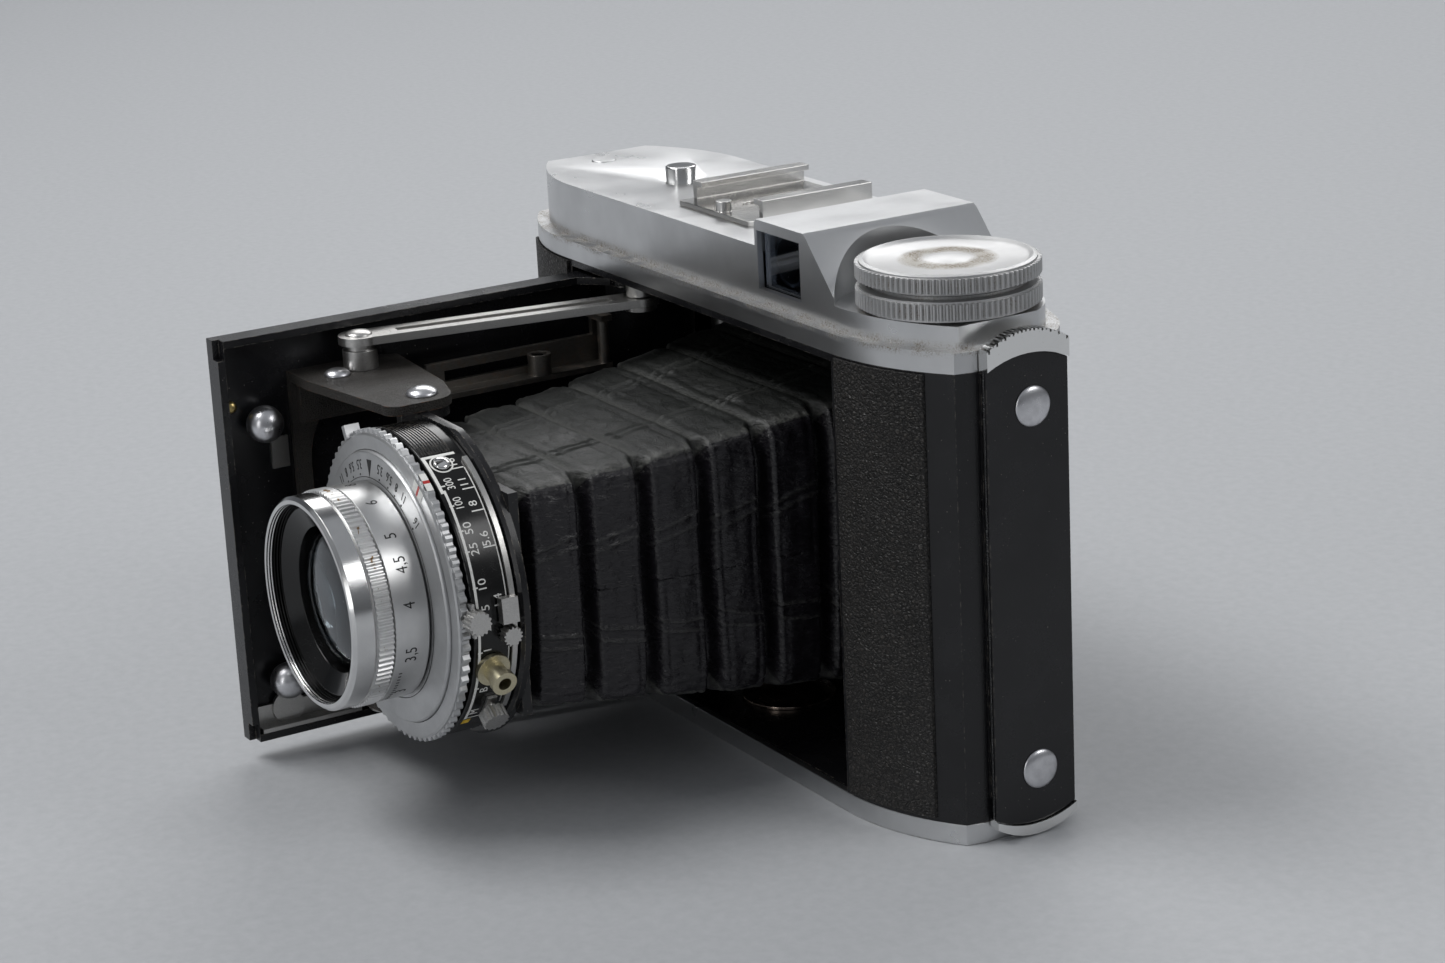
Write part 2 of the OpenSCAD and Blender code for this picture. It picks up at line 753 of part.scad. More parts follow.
// Clears whatever stands inside the shutter case's outer radius
module turned_hole() {
    rotate([90, 0, 0]) translate([0, 0, -5]) cylinder(r = case_r + 0.02, h = 10, $fn = 96);
}

module knob_on_case(r0, r1, size) {
    translate([0, 0, r0]) linear_extrude(r1 - r0) polygon(knurl(size, 14, 0.25));
}

module lever_band(ahead, w, a0, a1) {
    translate([0, -ahead, lens_z]) rotate([90, 0, 0]) translate([0, 0, -w / 2]) rotate([0, 0, a0])
        rotate_extrude(angle = a1 - a0, $fn = 96) translate([case_r + 0.06, 0]) square([0.5, w]);
}

module aperture_lever() {
    color([0.75, 0.75, 0.74]) union() {
        lever_band(59.5, 0.8, -40, 62);
        around_lens(3.4, 60.6) translate([-1.9, -1.3, case_r + 0.3]) cube([3.8, 2.6, 1.5]);
        around_lens(-5.6, 60.5) knob_on_case(case_r + 0.3, case_r + 2, 1.5);
    }
}

module cocking_lever() {
    color([0.78, 0.78, 0.78]) union() {
        translate([0, -66.4, lens_z]) rotate([90, 0, 0]) translate([0, 0, -0.45]) rotate([0, 0, -4])
            rotate_extrude(angle = 12, $fn = 96) translate([18, 0]) square([6.6, 0.4]);
        around_lens(2, 66) knob_on_case(23.9, 26.2, 1.8);
    }
}

module timer_lever() {
    color([0.78, 0.78, 0.78]) union() {
        lever_band(62, 1.6, -44, -33);
        around_lens(-38.6, 62) translate([0, 0, case_r + 0.3]) cylinder(r = 0.9, h = 2);
        around_lens(-38.6, 62) knob_on_case(case_r + 1.2, case_r + 3.2, 2);
    }
}

// ---------- back ----------

window_travel = 9.2;    // how far the red window's cover slides

// The back cover's lip round the near end, under the latch
module near_flange(z0, z1) {
    intersection() {
        difference() {
            slab(z0, z1, -0.66);
            intersection() {
                slab(z0 - 1, z1 + 1, -0.12);
                block([-70, 70], [-30, split_y + 0.12], [0, 80]);
            }
        }
        union() {
            block([56, 70], [9.8, split_y + 1.4], [z0, z1]);
            block([56, 70], [-4.4, 10], [6.8, z1]);
        }
    }
}

module back_cover() {
    z0 = base_rim + 0.15;
    z1 = cover_z - 0.15;
    color([0.06, 0.06, 0.065]) difference() {
        union() {
            intersection() {
                difference() {
                    slab(z0, z1);
                    slab(z0 - 1, z1 + 1, 2);
                }
                block([-body_half + 0.1, 70], [split_y + 0.12, 30], [z0, z1]);
            }
            difference() {
                union() {
                    rod(back_axis, 1.9, 20.2, 53.8);
                    block([back_axis[0], -58.6], [back_axis[1] + 0.2, back_axis[1] + 1.7], [20.2, 53.8]);
                }
                rod(back_axis, 1 + slip, 0, 80);
            }
            near_flange(z0, z1);
        }
        translate([0, 25, lens_z]) rotate([90, 0, 0]) cylinder(r = 4.2, h = 8);
        block([-window_travel - 5.4, 5.4], [back_face - 1.2, 30], [lens_z - 5.4, lens_z + 5.4]);
        for (z = [10.1, 64.5]) block([61, 65], [2.4, 4.4], [z - 1.5, z + 4.5]);
        for (z = [2, 53.9]) rod(back_axis, 2.05, z, z + 18.1);
    }
}

module back_leather() {
    color([0.1, 0.1, 0.1]) difference() {
        panel([-57, 55], [14, 30], base_rim + 0.8, cover_z - 0.8);
        block([-window_travel - 4.8, 4.8], [20, 30], [lens_z - 4.6, lens_z + 4.6]);
    }
}

module back_hinge_pin() {
    color([0.7, 0.7, 0.7]) rod(back_axis, 1, 4.2, 69.8);
}

module pressure_plate() {
    color([0.1, 0.1, 0.1]) difference() {
        block([-29.5, 29.5], [16.2, 17], [7.2, 65.2]);
        translate([0, 25, lens_z]) rotate([90, 0, 0]) cylinder(r = 4.4, h = 12);
    }
}

module pressure_springs() {
    color([0.7, 0.62, 0.4]) for (x = [-18, 18]) translate([x - 3, 0, 0]) rotate([90, 0, 90])
        linear_extrude(6) polygon(concat(
            [for (i = [-8:8]) [18.7 - 1.6 * (1 - pow(i / 8, 2)), lens_z + 2.2 * i]],
            [for (i = [8:-1:-8]) [18.45 - 1.4 * (1 - pow(i / 8, 2)), lens_z + 2.2 * i]]));
}

module red_window() {
    color([0.5, 0.05, 0.05]) translate([0, back_face - 1.25, lens_z]) rotate([90, 0, 0])
        cylinder(r = 4.15, h = 0.7);
}

module window_slide() {
    color([0.2, 0.2, 0.2]) union() {
        block([-5.2, 5.2], [back_face - 1.1, back_face - 0.5], [lens_z - 5.2, lens_z + 5.2]);
        block([-4.4, -2.8], [back_face - 0.6, back_face + 0.5], [lens_z - 2.6, lens_z + 2.6]);
    }
}

// ---------- sliding latch on the near end ----------

latch_y = [-4.4, 9.6];
latch_x = 62.75;

function latch_end(rise) = let (w = latch_y[1] - latch_y[0], r = (w * w / 4 + rise * rise) / (2 * rise))
    [for (i = [0:10]) let (y = latch_y[1] - w * i / 10, d = y - (latch_y[0] + latch_y[1]) / 2)
        [y, sqrt(r * r - d * d) - r + rise]];

// A plate on the end of the body whose top and bottom edges are arched
module latch_plate(x0, x1, z0, z1, rise) {
    up = latch_end(rise);
    translate([x0, 0, 0]) rotate([90, 0, 90]) linear_extrude(x1 - x0) polygon(concat(
        [for (p = up) [p[0], z1 + p[1]]],
        [for (i = [len(up) - 1:-1:0]) [up[i][0], z0 - up[i][1]]]));
}

// A bright cap at one end of the latch bar
module latch_cap(z0, z1) {
    intersection() {
        latch_plate(latch_x - 0.7, latch_x + 1.35, 2.5, 73.6, 2.2);
        block([60, 70], [-10, 20], [z0, z1]);
    }
}

module latch_bar() {
    color([0.8, 0.8, 0.79]) difference() {
        union() {
            latch_plate(latch_x, latch_x + 0.35, 2.6, 72.6, 1.8);
            latch_cap(70.5, 80);
            latch_cap(0, 3.8);
            for (z = [10.1, 64.5]) block([61.95, latch_x + 0.1], [2.6, 4.2], [z - 1.3, z + 1.3]);
        }
        latch_plate(latch_x + 0.36, latch_x + 2, 3.6, 70.7, 1.7);
        for (p = latch_end(2.2)) for (d = [-0.35, 0.35])
            block([60, 70], [p[0] + d - 0.16, p[0] + d + 0.16], [73.6 + p[1] - 0.3, 80]);
    }
}

module latch_panel() {
    color([0.03, 0.03, 0.03]) latch_plate(latch_x + 0.37, latch_x + 0.9, 3.7, 70.6, 1.7);
}

module latch_rivets() {
    color([0.86, 0.86, 0.86]) for (z = [10.1, 64.5])
        translate([latch_x + 0.92, 3.4, z]) rotate([0, 90, 0]) domed_rivet([0, 0], 3, 0, 0.8);
}

body_shell();
top_cover();
bottom_cover();
tripod_bush();
finder_front_lens();
finder_rear_lens();
finder_tube();
accessory_shoe();
leather_near();
leather_far();
film_gate();
bellows_frame();
bellows();
strut_pins();
hinge_pins();
back_hinge_pin();
spool_pins();
guide_roller_near();
guide_roller_far();
advance_knob();
winding_shaft();
reminder_dial();
take_up_spool();
supply_spool();
release_button();
door_button();
lens_door();
door_leather();
door_strip();
door_links();
catch_stud_top();
catch_stud_bottom();
lens_bracket();
bracket_rivets();
strut_posts();
strut_top();
strut_bottom();
lens_board();
shutter_case();
sync_post();
dof_ring();
rear_cell();
aperture_blades();
shutter_blades();
speed_ring();
focus_ring();
name_ring();
front_glass();
aperture_lever();
cocking_lever();
timer_lever();
back_cover();
back_leather();
pressure_plate();
pressure_springs();
window_slide();
red_window();
latch_bar();
latch_panel();
latch_rivets();
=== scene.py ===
"""Looks of a self-erecting folding roll-film camera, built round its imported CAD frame."""
import json
import math
from functools import partial

import bpy
from mathutils import Matrix, Vector, noise


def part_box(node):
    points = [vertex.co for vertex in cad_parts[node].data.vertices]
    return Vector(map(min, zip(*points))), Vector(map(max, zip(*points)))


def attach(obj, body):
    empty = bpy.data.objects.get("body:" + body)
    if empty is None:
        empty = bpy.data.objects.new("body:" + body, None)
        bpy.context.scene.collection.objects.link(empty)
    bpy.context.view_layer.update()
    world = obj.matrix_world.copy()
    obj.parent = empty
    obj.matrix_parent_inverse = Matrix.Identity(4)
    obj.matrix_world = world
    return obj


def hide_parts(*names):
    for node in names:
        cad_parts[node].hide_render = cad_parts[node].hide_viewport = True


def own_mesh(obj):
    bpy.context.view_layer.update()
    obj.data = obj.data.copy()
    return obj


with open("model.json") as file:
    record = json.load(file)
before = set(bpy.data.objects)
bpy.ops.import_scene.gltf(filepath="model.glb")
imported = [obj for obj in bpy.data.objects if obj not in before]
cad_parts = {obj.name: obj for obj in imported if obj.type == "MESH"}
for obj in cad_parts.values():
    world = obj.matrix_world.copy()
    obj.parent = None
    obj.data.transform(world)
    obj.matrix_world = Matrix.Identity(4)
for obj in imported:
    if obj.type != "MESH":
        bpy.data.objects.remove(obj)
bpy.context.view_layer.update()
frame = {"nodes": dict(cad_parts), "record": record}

MM = 0.001


def limits(node):
    """Lowest and highest corner of a CAD node in millimetres."""
    low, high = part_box(node)
    return low / MM, high / MM


MOUNTS = {mount["name"]: mount for mount in frame["record"]["mounts"]}
LENS_Z = MOUNTS["front_ring"]["pos_m"][2] / MM
CASE_R = limits("shutter_case")[1].x
LENS_TIP = limits("focus_ring")[0].y
LENS_BORE_R = 14.9
BARREL_R = 16.2
RIM_TOP = limits("top_cover")[0].z + 3.0
KNOB_LOW, KNOB_HIGH = limits("reminder_dial")
KNOB_MIDDLE = (KNOB_LOW + KNOB_HIGH) / 2
SEED = Vector((3.1, 7.7, 1.9))

DIRT = (0.17, 0.115, 0.05)
DRY_DIRT = (0.3, 0.28, 0.24)
DUST = (0.3, 0.28, 0.25)
RUST = (0.17, 0.08, 0.03)
BARE_METAL = (0.42, 0.38, 0.32)
DEEP_BLACK = (0.004, 0.004, 0.004)


# ---------- procedural materials ----------

class Shader:
    """A Principled material made of procedural nodes, in the object's own millimetres."""

    def __init__(self, name, **values):
        self.material = bpy.data.materials.new(name)
        self.material.use_nodes = True
        self.tree = self.material.node_tree
        self.bsdf = self.tree.nodes["Principled BSDF"]
        scale = self.node("ShaderNodeVectorMath", operation="SCALE")
        scale.inputs["Scale"].default_value = 1 / MM
        self.link(self.node("ShaderNodeTexCoord").outputs["Object"], scale.inputs[0])
        self.mm = scale.outputs[0]
        for key, value in values.items():
            self.set(key.replace("_", " "), value)

    def node(self, kind, **settings):
        """A new shader node with its settings."""
        made = self.tree.nodes.new(kind)
        for key, value in settings.items():
            setattr(made, key, value)
        return made

    def link(self, a, b):
        self.tree.links.new(a, b)

    def feed(self, socket, value):
        """Links a socket, or writes a number or colour into its default."""
        if isinstance(value, bpy.types.NodeSocket):
            self.link(value, socket)
        elif isinstance(value, tuple) and len(value) == 3 and socket.type == "RGBA":
            socket.default_value = (*value, 1)
        else:
            socket.default_value = value

    def set(self, name, value):
        """Sets or links one input of the Principled shader."""
        self.feed(self.bsdf.inputs[name], value)

    def stretched(self, stretch):
        """The point in millimetres, with each axis multiplied."""
        scaled = self.node("ShaderNodeVectorMath", operation="MULTIPLY")
        self.link(self.mm, scaled.inputs[0])
        scaled.inputs[1].default_value = stretch
        return scaled.outputs[0]

    def noise(self, size, detail=3.0, rough=0.55, stretch=(1, 1, 1), warp=0.0):
        """Soft noise with features of a size in millimetres; about 0 to 1."""
        made = self.node("ShaderNodeTexNoise")
        self.link(self.stretched(stretch), made.inputs["Vector"])
        made.inputs["Scale"].default_value = 1 / size
        made.inputs["Detail"].default_value = detail
        made.inputs["Roughness"].default_value = rough
        made.inputs["Distortion"].default_value = warp
        return made.outputs["Fac"]

    def cells(self, size, feature="F1"):
        """Distance to the nearest cell point, or to the cell's edge, for cells of a size in millimetres."""
        made = self.node("ShaderNodeTexVoronoi", feature=feature)
        self.link(self.mm, made.inputs["Vector"])
        made.inputs["Scale"].default_value = 1 / size
        return made.outputs["Distance"]

    def remap(self, value, low, high, a=0.0, b=1.0):
        """Low to high becomes a to b, held at both ends."""
        made = self.node("ShaderNodeMapRange")
        for socket, number in zip(made.inputs, (value, low, high, a, b)):
            self.feed(socket, number)
        return made.outputs[0]

    def maths(self, operation, a, b=0.0):
        made = self.node("ShaderNodeMath", operation=operation)
        self.feed(made.inputs[0], a)
        self.feed(made.inputs[1], b)
        return made.outputs[0]

    def product(self, *values):
        """All the values multiplied together."""
        result = values[0]
        for value in values[1:]:
            result = self.maths("MULTIPLY", result, value)
        return result

    def tones(self, value, low, high, a, b):
        """Colour a where the value is low, b where it is high."""
        return self.mix(self.remap(value, low, high), a, b)

    def mix(self, share, a, b):
        """Colour a where share is 0, b where it is 1."""
        made = self.node("ShaderNodeMix", data_type="RGBA")
        self.feed(made.inputs[0], share)
        self.feed(made.inputs[6], a)
        self.feed(made.inputs[7], b)
        return made.outputs[2]

    def axis(self, index):
        """The point's x, y or z in millimetres."""
        split = self.node("ShaderNodeSeparateXYZ")
        self.link(self.mm, split.inputs[0])
        return split.outputs[index]

    def radius(self, middle, keep):
        """Distance in millimetres from a line through middle, along the axis that keep leaves out."""
        offset = self.node("ShaderNodeVectorMath", operation="SUBTRACT")
        self.link(self.mm, offset.inputs[0])
        offset.inputs[1].default_value = middle
        flat = self.node("ShaderNodeVectorMath", operation="MULTIPLY")
        self.link(offset.outputs[0], flat.inputs[0])
        flat.inputs[1].default_value = keep
        length = self.node("ShaderNodeVectorMath", operation="LENGTH")
        self.link(flat.outputs[0], length.inputs[0])
        return length.outputs["Value"]

    def band(self, value, low, high, soft):
        """1 between low and high, fading out over soft on both sides."""
        rising = self.remap(value, low - soft, low)
        return self.product(rising, self.remap(value, high + soft, high))

    def crevice(self, reach):
        """1 in open places, towards 0 in corners within a reach in millimetres."""
        made = self.node("ShaderNodeAmbientOcclusion", samples=6)
        made.inputs["Distance"].default_value = reach * MM
        return made.outputs["AO"]

    def edge(self, radius):
        """1 on sharp edges within a radius in millimetres, 0 on open faces."""
        round_normal = self.node("ShaderNodeBevel", samples=4)
        round_normal.inputs["Radius"].default_value = radius * MM
        dot = self.node("ShaderNodeVectorMath", operation="DOT_PRODUCT")
        self.link(round_normal.outputs[0], dot.inputs[0])
        self.link(self.node("ShaderNodeNewGeometry").outputs["Normal"], dot.inputs[1])
        return self.remap(dot.outputs["Value"], 0.995, 0.88)

    def bump(self, *layers):
        """Layers of (height, depth in millimetres), one on the other."""
        normal = None
        for height, depth in layers:
            made = self.node("ShaderNodeBump")
            made.inputs["Distance"].default_value = depth * MM
            self.link(height, made.inputs["Height"])
            if normal is not None:
                self.link(normal, made.inputs["Normal"])
            normal = made.outputs["Normal"]
        self.set("Normal", normal)


def scratches(s, width=0.05):
    """Thin, sparse scratches, 1 on a scratch."""
    first = s.noise(1.1, 2, 0.4, (0.12, 1, 1), 0.6)
    thin = s.maths("ABSOLUTE", s.maths("SUBTRACT", first, 0.5))
    here = s.remap(thin, width * 0.12, 0.0)
    return s.product(here, s.remap(s.noise(9, 2), 0.52, 0.62))


def shade(color, share, lift=0.0):
    """A colour multiplied by a share and lifted a little."""
    return tuple(c * share + lift for c in color)


def satin_chrome(name, color=(0.66, 0.665, 0.67), rough=0.3, dirt=0.8, reach=1.0):
    """Sand-blasted chrome, smudged, with brown dirt in its steps and round the middle of the knob."""
    s = Shader(name, Metallic=1.0)
    smudge = s.noise(8, 3, 0.55)
    clean = s.tones(smudge, 0.35, 0.7, color, shade(color, 0.9))
    height = s.axis(2)
    corner = s.remap(s.crevice(reach), 0.62, 0.3)
    step = s.band(height, RIM_TOP - 0.05, RIM_TOP + 0.3, 0.9)
    ring = s.band(s.radius(tuple(KNOB_MIDDLE), (1, 1, 0)), 4.6, 6.0, 1.4)
    knob = s.product(ring, s.remap(height, KNOB_HIGH.z - 2.2, KNOB_HIGH.z - 1.9))
    where = s.maths("MAXIMUM", s.maths("MAXIMUM", corner, step), knob)
    speckle = s.remap(s.noise(0.3, 3, 0.75), 0.47, 0.6)
    patchy = s.remap(s.noise(3.2, 3, 0.6), 0.38, 0.58, 0.15, 1.0)
    grime = s.product(where, patchy, speckle, dirt)
    dull = s.mix(s.product(knob, 0.7), clean, DRY_DIRT)
    s.set("Base Color", s.mix(grime, dull, DIRT))
    s.set("Metallic", s.remap(grime, 0.0, 1.0, 1.0, 0.1))
    base = s.remap(smudge, 0.3, 0.75, rough - 0.03, rough + 0.06)
    s.set("Roughness", s.maths("ADD", base, s.product(grime, 0.3)))
    s.bump((s.noise(0.14, 2, 0.6), 0.003), (grime, 0.03))
    return s.material


def lens_chrome(name):
    """Focusing ring: satin barrel, polished front rim, threads and black paint inside it."""
    polished_y = LENS_TIP + 3.3
    knurl_y = LENS_TIP + 4.6
    knurl_length = 0.6
    thread_pitch = 2 * math.pi / 14.0
    s = Shader(name)
    r = s.radius((0, 0, LENS_Z), (1, 0, 1))
    y = s.axis(1)
    inside = s.remap(r, LENS_BORE_R + 0.03, LENS_BORE_R - 0.02)
    deep = s.product(inside, s.remap(y, LENS_TIP + 0.75, LENS_TIP + 0.85))
    smudge = s.noise(4, 3, 0.55)
    front = s.remap(y, polished_y + 0.1, polished_y - 0.1)
    metal = s.tones(smudge, 0.35, 0.7, (0.7, 0.7, 0.695), (0.62, 0.62, 0.62))
    knurl = s.band(y, knurl_y, knurl_y + knurl_length, 0.05)
    dirty = s.mix(s.product(knurl, s.remap(s.noise(1.6, 2), 0.6, 0.66)), metal, (0.2, 0.12, 0.05))
    s.set("Base Color", s.mix(deep, dirty, DEEP_BLACK))
    s.set("Metallic", s.remap(deep, 0.0, 1.0, 1.0, 0.0))
    s.set("Specular IOR Level", s.remap(deep, 0.0, 1.0, 0.5, 0.12))
    rough = s.remap(front, 0.0, 1.0, 0.3, 0.13)
    s.set("Roughness", s.maths("ADD", rough, s.remap(smudge, 0.3, 0.75, 0.0, 0.06)))
    turns = s.product(y, 2 * math.pi / thread_pitch)
    thread = s.product(s.maths("SINE", turns), inside)
    s.bump((s.noise(0.14, 2, 0.6), 0.002), (thread, 0.06))
    return s.material


def stud_metal(name):
    """Spun satin studs that have gone dull."""
    s = Shader(name, Metallic=1.0)
    smudge = s.noise(1.6, 3, 0.6)
    s.set("Base Color", s.tones(smudge, 0.35, 0.7, (0.68, 0.68, 0.7), (0.56, 0.56, 0.58)))
    s.set("Roughness", s.remap(smudge, 0.3, 0.7, 0.26, 0.36))
    s.bump((s.noise(0.12, 2), 0.003), (s.noise(2, 2), 0.01))
    return s.material


def polished_chrome(name, rough=0.07, color=(0.83, 0.83, 0.82)):
    """Mirror-bright plate with smudges and hairline scratches."""
    s = Shader(name, Metallic=1.0)
    smudge = s.noise(2.4, 4, 0.65)
    worn = scratches(s, 0.08)
    pit = s.remap(s.cells(0.9), 0.1, 0.03)
    s.set("Base Color", s.mix(s.product(pit, 0.5), color, (0.3, 0.26, 0.2)))
    gloss = s.remap(smudge, 0.35, 0.75, rough, rough + 0.12)
    s.set("Roughness", s.maths("ADD", gloss, s.product(worn, 0.25)))
    s.bump((s.noise(5, 2), 0.02))
    return s.material


def brushed_steel(name, color=(0.62, 0.61, 0.59), along=(0.05, 1, 1), rough=0.3, rust=0.0):
    """Drawn or brushed metal with its grain along one direction, and rust spots if any."""
    s = Shader(name, Metallic=1.0)
    lines = s.noise(0.16, 3, 0.6, along)
    spots = s.remap(s.noise(1.7, 5, 0.7), 0.62 - 0.3 * rust, 0.74 - 0.2 * rust)
    rusty = s.product(spots, rust)
    clean = s.tones(lines, 0.3, 0.7, color, shade(color, 0.78))
    s.set("Base Color", s.mix(rusty, clean, RUST))
    s.set("Metallic", s.remap(rusty, 0.0, 1.0, 1.0, 0.1))
    s.set("Roughness", s.remap(lines, 0.25, 0.8, rough - 0.06, rough + 0.16))
    s.bump((lines, 0.006), (s.noise(6, 2), 0.015))
    return s.material


def enamel(name, color=(0.006, 0.006, 0.007), rough=0.2, dust=0.6, wear=0.6):
    """Black enamel: faint orange peel, lint and dust, and bare metal where edges have rubbed."""
    s = Shader(name)
    speck = s.remap(s.cells(0.85), 0.1, 0.05)
    sparse = s.remap(s.noise(3.5, 2), 0.5, 0.62)
    lint = s.product(speck, sparse, dust)
    haze = s.noise(9, 4, 0.6)
    chip = s.product(s.edge(0.22), s.remap(s.noise(1.3, 4, 0.7), 0.5, 0.6), wear)
    worn = scratches(s)
    clean = s.tones(haze, 0.35, 0.8, color, shade(color, 1.8, 0.003))
    dusty = s.mix(lint, clean, DUST)
    s.set("Base Color", s.mix(chip, dusty, BARE_METAL))
    s.set("Metallic", chip)
    gloss = s.remap(haze, 0.3, 0.8, rough, rough + 0.14)
    s.set("Roughness", s.maths("ADD", gloss, s.product(s.maths("ADD", lint, worn), 0.3)))
    s.set("Specular IOR Level", 0.4)
    s.bump((s.noise(0.7, 2), 0.003), (worn, -0.003), (lint, 0.01))
    return s.material


def matt_metal(name, color=(0.012, 0.012, 0.012), rough=0.55):
    """Matt black lacquer inside the camera, with dust and rubbed patches."""
    s = Shader(name)
    grain = s.noise(0.25, 3, 0.7)
    lightened = s.remap(s.noise(4, 4, 0.6), 0.5, 0.75)
    s.set("Base Color", s.mix(lightened, color, shade(color, 2.5, 0.004)))
    s.set("Roughness", s.remap(grain, 0.3, 0.7, rough - 0.1, rough + 0.15))
    s.bump((grain, 0.02))
    return s.material


def pebble_leather(name):
    """Fine pebble-grained leathercloth, shiny on its grains, with a painted highlight on their tops and
    painted shade between them.
    """
    size = 0.72
    color = (0.011, 0.01, 0.0095)
    depth = 0.3
    s = Shader(name)
    edge = s.cells(size, "DISTANCE_TO_EDGE")
    finer = s.cells(size * 0.5, "DISTANCE_TO_EDGE")
    pebble = s.remap(edge, 0.0, 0.32)
    blotch = s.noise(9, 4, 0.6)
    base = s.tones(blotch, 0.35, 0.7, color, shade(color, 2.0, 0.003))
    # Painted highlight: a paler brown-grey on the pebble tops, in patches.
    top_highlight = s.product(pebble, s.remap(s.noise(1.1, 4, 0.7), 0.42, 0.68))
    lightened = s.mix(s.product(top_highlight, 0.55), base, (0.085, 0.074, 0.062))
    # Painted shade: a darker colour in the gaps between the pebbles.
    between = s.remap(edge, 0.08, 0.0, 0.0, 0.8)
    s.set("Base Color", s.mix(between, lightened, (0.004, 0.0035, 0.003)))
    shine = s.maths("ADD", pebble, s.product(blotch, 0.7))
    s.set("Roughness", s.remap(shine, 0.2, 1.5, 0.65, 0.38))
    s.set("Specular IOR Level", 0.45)
    s.bump((pebble, depth), (s.remap(finer, 0.0, 0.3), depth * 0.35), (s.noise(5, 3), 0.15))
    return s.material


def bellows_cloth(name):
    """Leathercloth of the bellows: glossy purple-black sides, a dull green-black top, worn ridges, and pale
    side creases that are partly wear and partly painted highlight.
    """
    s = Shader(name)
    wrinkle = s.noise(1.1, 4, 0.65, (0.5, 0.5, 1.5), 0.5)
    grain = s.noise(0.3, 3, 0.7)
    wear_and_sheen_share = s.node("ShaderNodeAttribute", attribute_name="wear_and_sheen").outputs["Fac"]
    top = s.node("ShaderNodeAttribute", attribute_name="top").outputs["Fac"]
    # Pale colour from the point attribute: wear on edges and pleat tops, painted highlight on the side
    # creases.
    worn = s.product(wear_and_sheen_share, s.remap(s.noise(0.8, 4, 0.8), 0.36, 0.62))
    blotch = s.noise(6, 4, 0.6)
    side = s.tones(blotch, 0.3, 0.75, (0.006, 0.0052, 0.007), (0.0135, 0.012, 0.015))
    upper = s.tones(blotch, 0.3, 0.75, (0.005, 0.0058, 0.005), (0.012, 0.0138, 0.0118))
    cloth = s.mix(top, side, upper)
    s.set("Base Color", s.mix(s.product(worn, 0.75), cloth, (0.11, 0.112, 0.1)))
    gloss = s.remap(s.maths("ADD", blotch, wrinkle), 0.7, 1.4, 0.17, 0.36)
    dull = s.product(s.maths("ADD", worn, top), 0.28)
    s.set("Roughness", s.maths("ADD", gloss, dull))
    s.set("Specular IOR Level", 0.5)
    s.bump((grain, 0.035), (wrinkle, 0.3))
    return s.material


def crackle_paint(name):
    """Black-brown wrinkle paint, dusty in its furrows, rusty where it has rubbed through."""
    s = Shader(name)
    furrow = s.remap(s.cells(0.34, "DISTANCE_TO_EDGE"), 0.0, 0.22)
    rust = s.product(s.edge(0.3), s.remap(s.noise(1.6, 4, 0.7), 0.52, 0.66))
    patch = s.noise(4, 4, 0.65)
    clean = s.tones(patch, 0.35, 0.7, (0.009, 0.008, 0.007), (0.024, 0.021, 0.018))
    dusty = s.mix(s.remap(furrow, 0.5, 0.0, 0.0, 0.5), clean, (0.07, 0.06, 0.048))
    s.set("Base Color", s.mix(rust, dusty, (0.15, 0.06, 0.022)))
    s.set("Roughness", s.remap(patch, 0.3, 0.7, 0.42, 0.62))
    s.bump((furrow, 0.08), (s.noise(1.2, 4, 0.7), 0.16))
    return s.material


def grey_anodised(name):
    """Finely turned light grey metal: turning lines round the lens axis."""
    s = Shader(name, Metallic=0.85)
    rings = s.node("ShaderNodeTexNoise", noise_dimensions="1D")
    s.link(s.radius((0, 0, LENS_Z), (1, 0, 1)), rings.inputs["W"])
    rings.inputs["Scale"].default_value = 9.0
    rings.inputs["Detail"].default_value = 4
    smudge = s.noise(5, 4, 0.6)
    s.set("Base Color", s.tones(smudge, 0.3, 0.75, (0.56, 0.565, 0.57), (0.47, 0.475, 0.48)))
    s.set("Roughness", s.remap(smudge, 0.3, 0.7, 0.34, 0.46))
    s.bump((rings.outputs["Fac"], 0.006), (s.noise(0.2, 2), 0.004))
    return s.material


def glass(name, tint, coat=(0.5, 0.45, 0.8)):
    """Coated optical glass: a dark clear body with a faint coloured reflection."""
    s = Shader(name)
    s.set("Base Color", tint)
    s.set("Transmission Weight", 1.0)
    s.set("IOR", 1.52)
    dust = s.remap(s.cells(1.3), 0.06, 0.03)
    haze = s.noise(4, 4, 0.6)
    s.set("Roughness", s.maths("ADD", s.remap(haze, 0.4, 0.8, 0.0, 0.035), s.product(dust, 0.4)))
    s.set("Coat Weight", 0.6)
    s.set("Coat Tint", (*coat, 1))
    s.bump((haze, 0.002))
    return s.material


def paint(name, color):
    """Engraved figures filled with paint, slightly rubbed."""
    s = Shader(name)
    wear = s.noise(0.6, 4, 0.7)
    s.set("Base Color", s.tones(wear, 0.5, 0.85, color, shade(color, 0.7)))
    s.set("Roughness", s.remap(wear, 0.2, 0.8, 0.4, 0.6))
    s.bump((wear, 0.01))
    return s.material


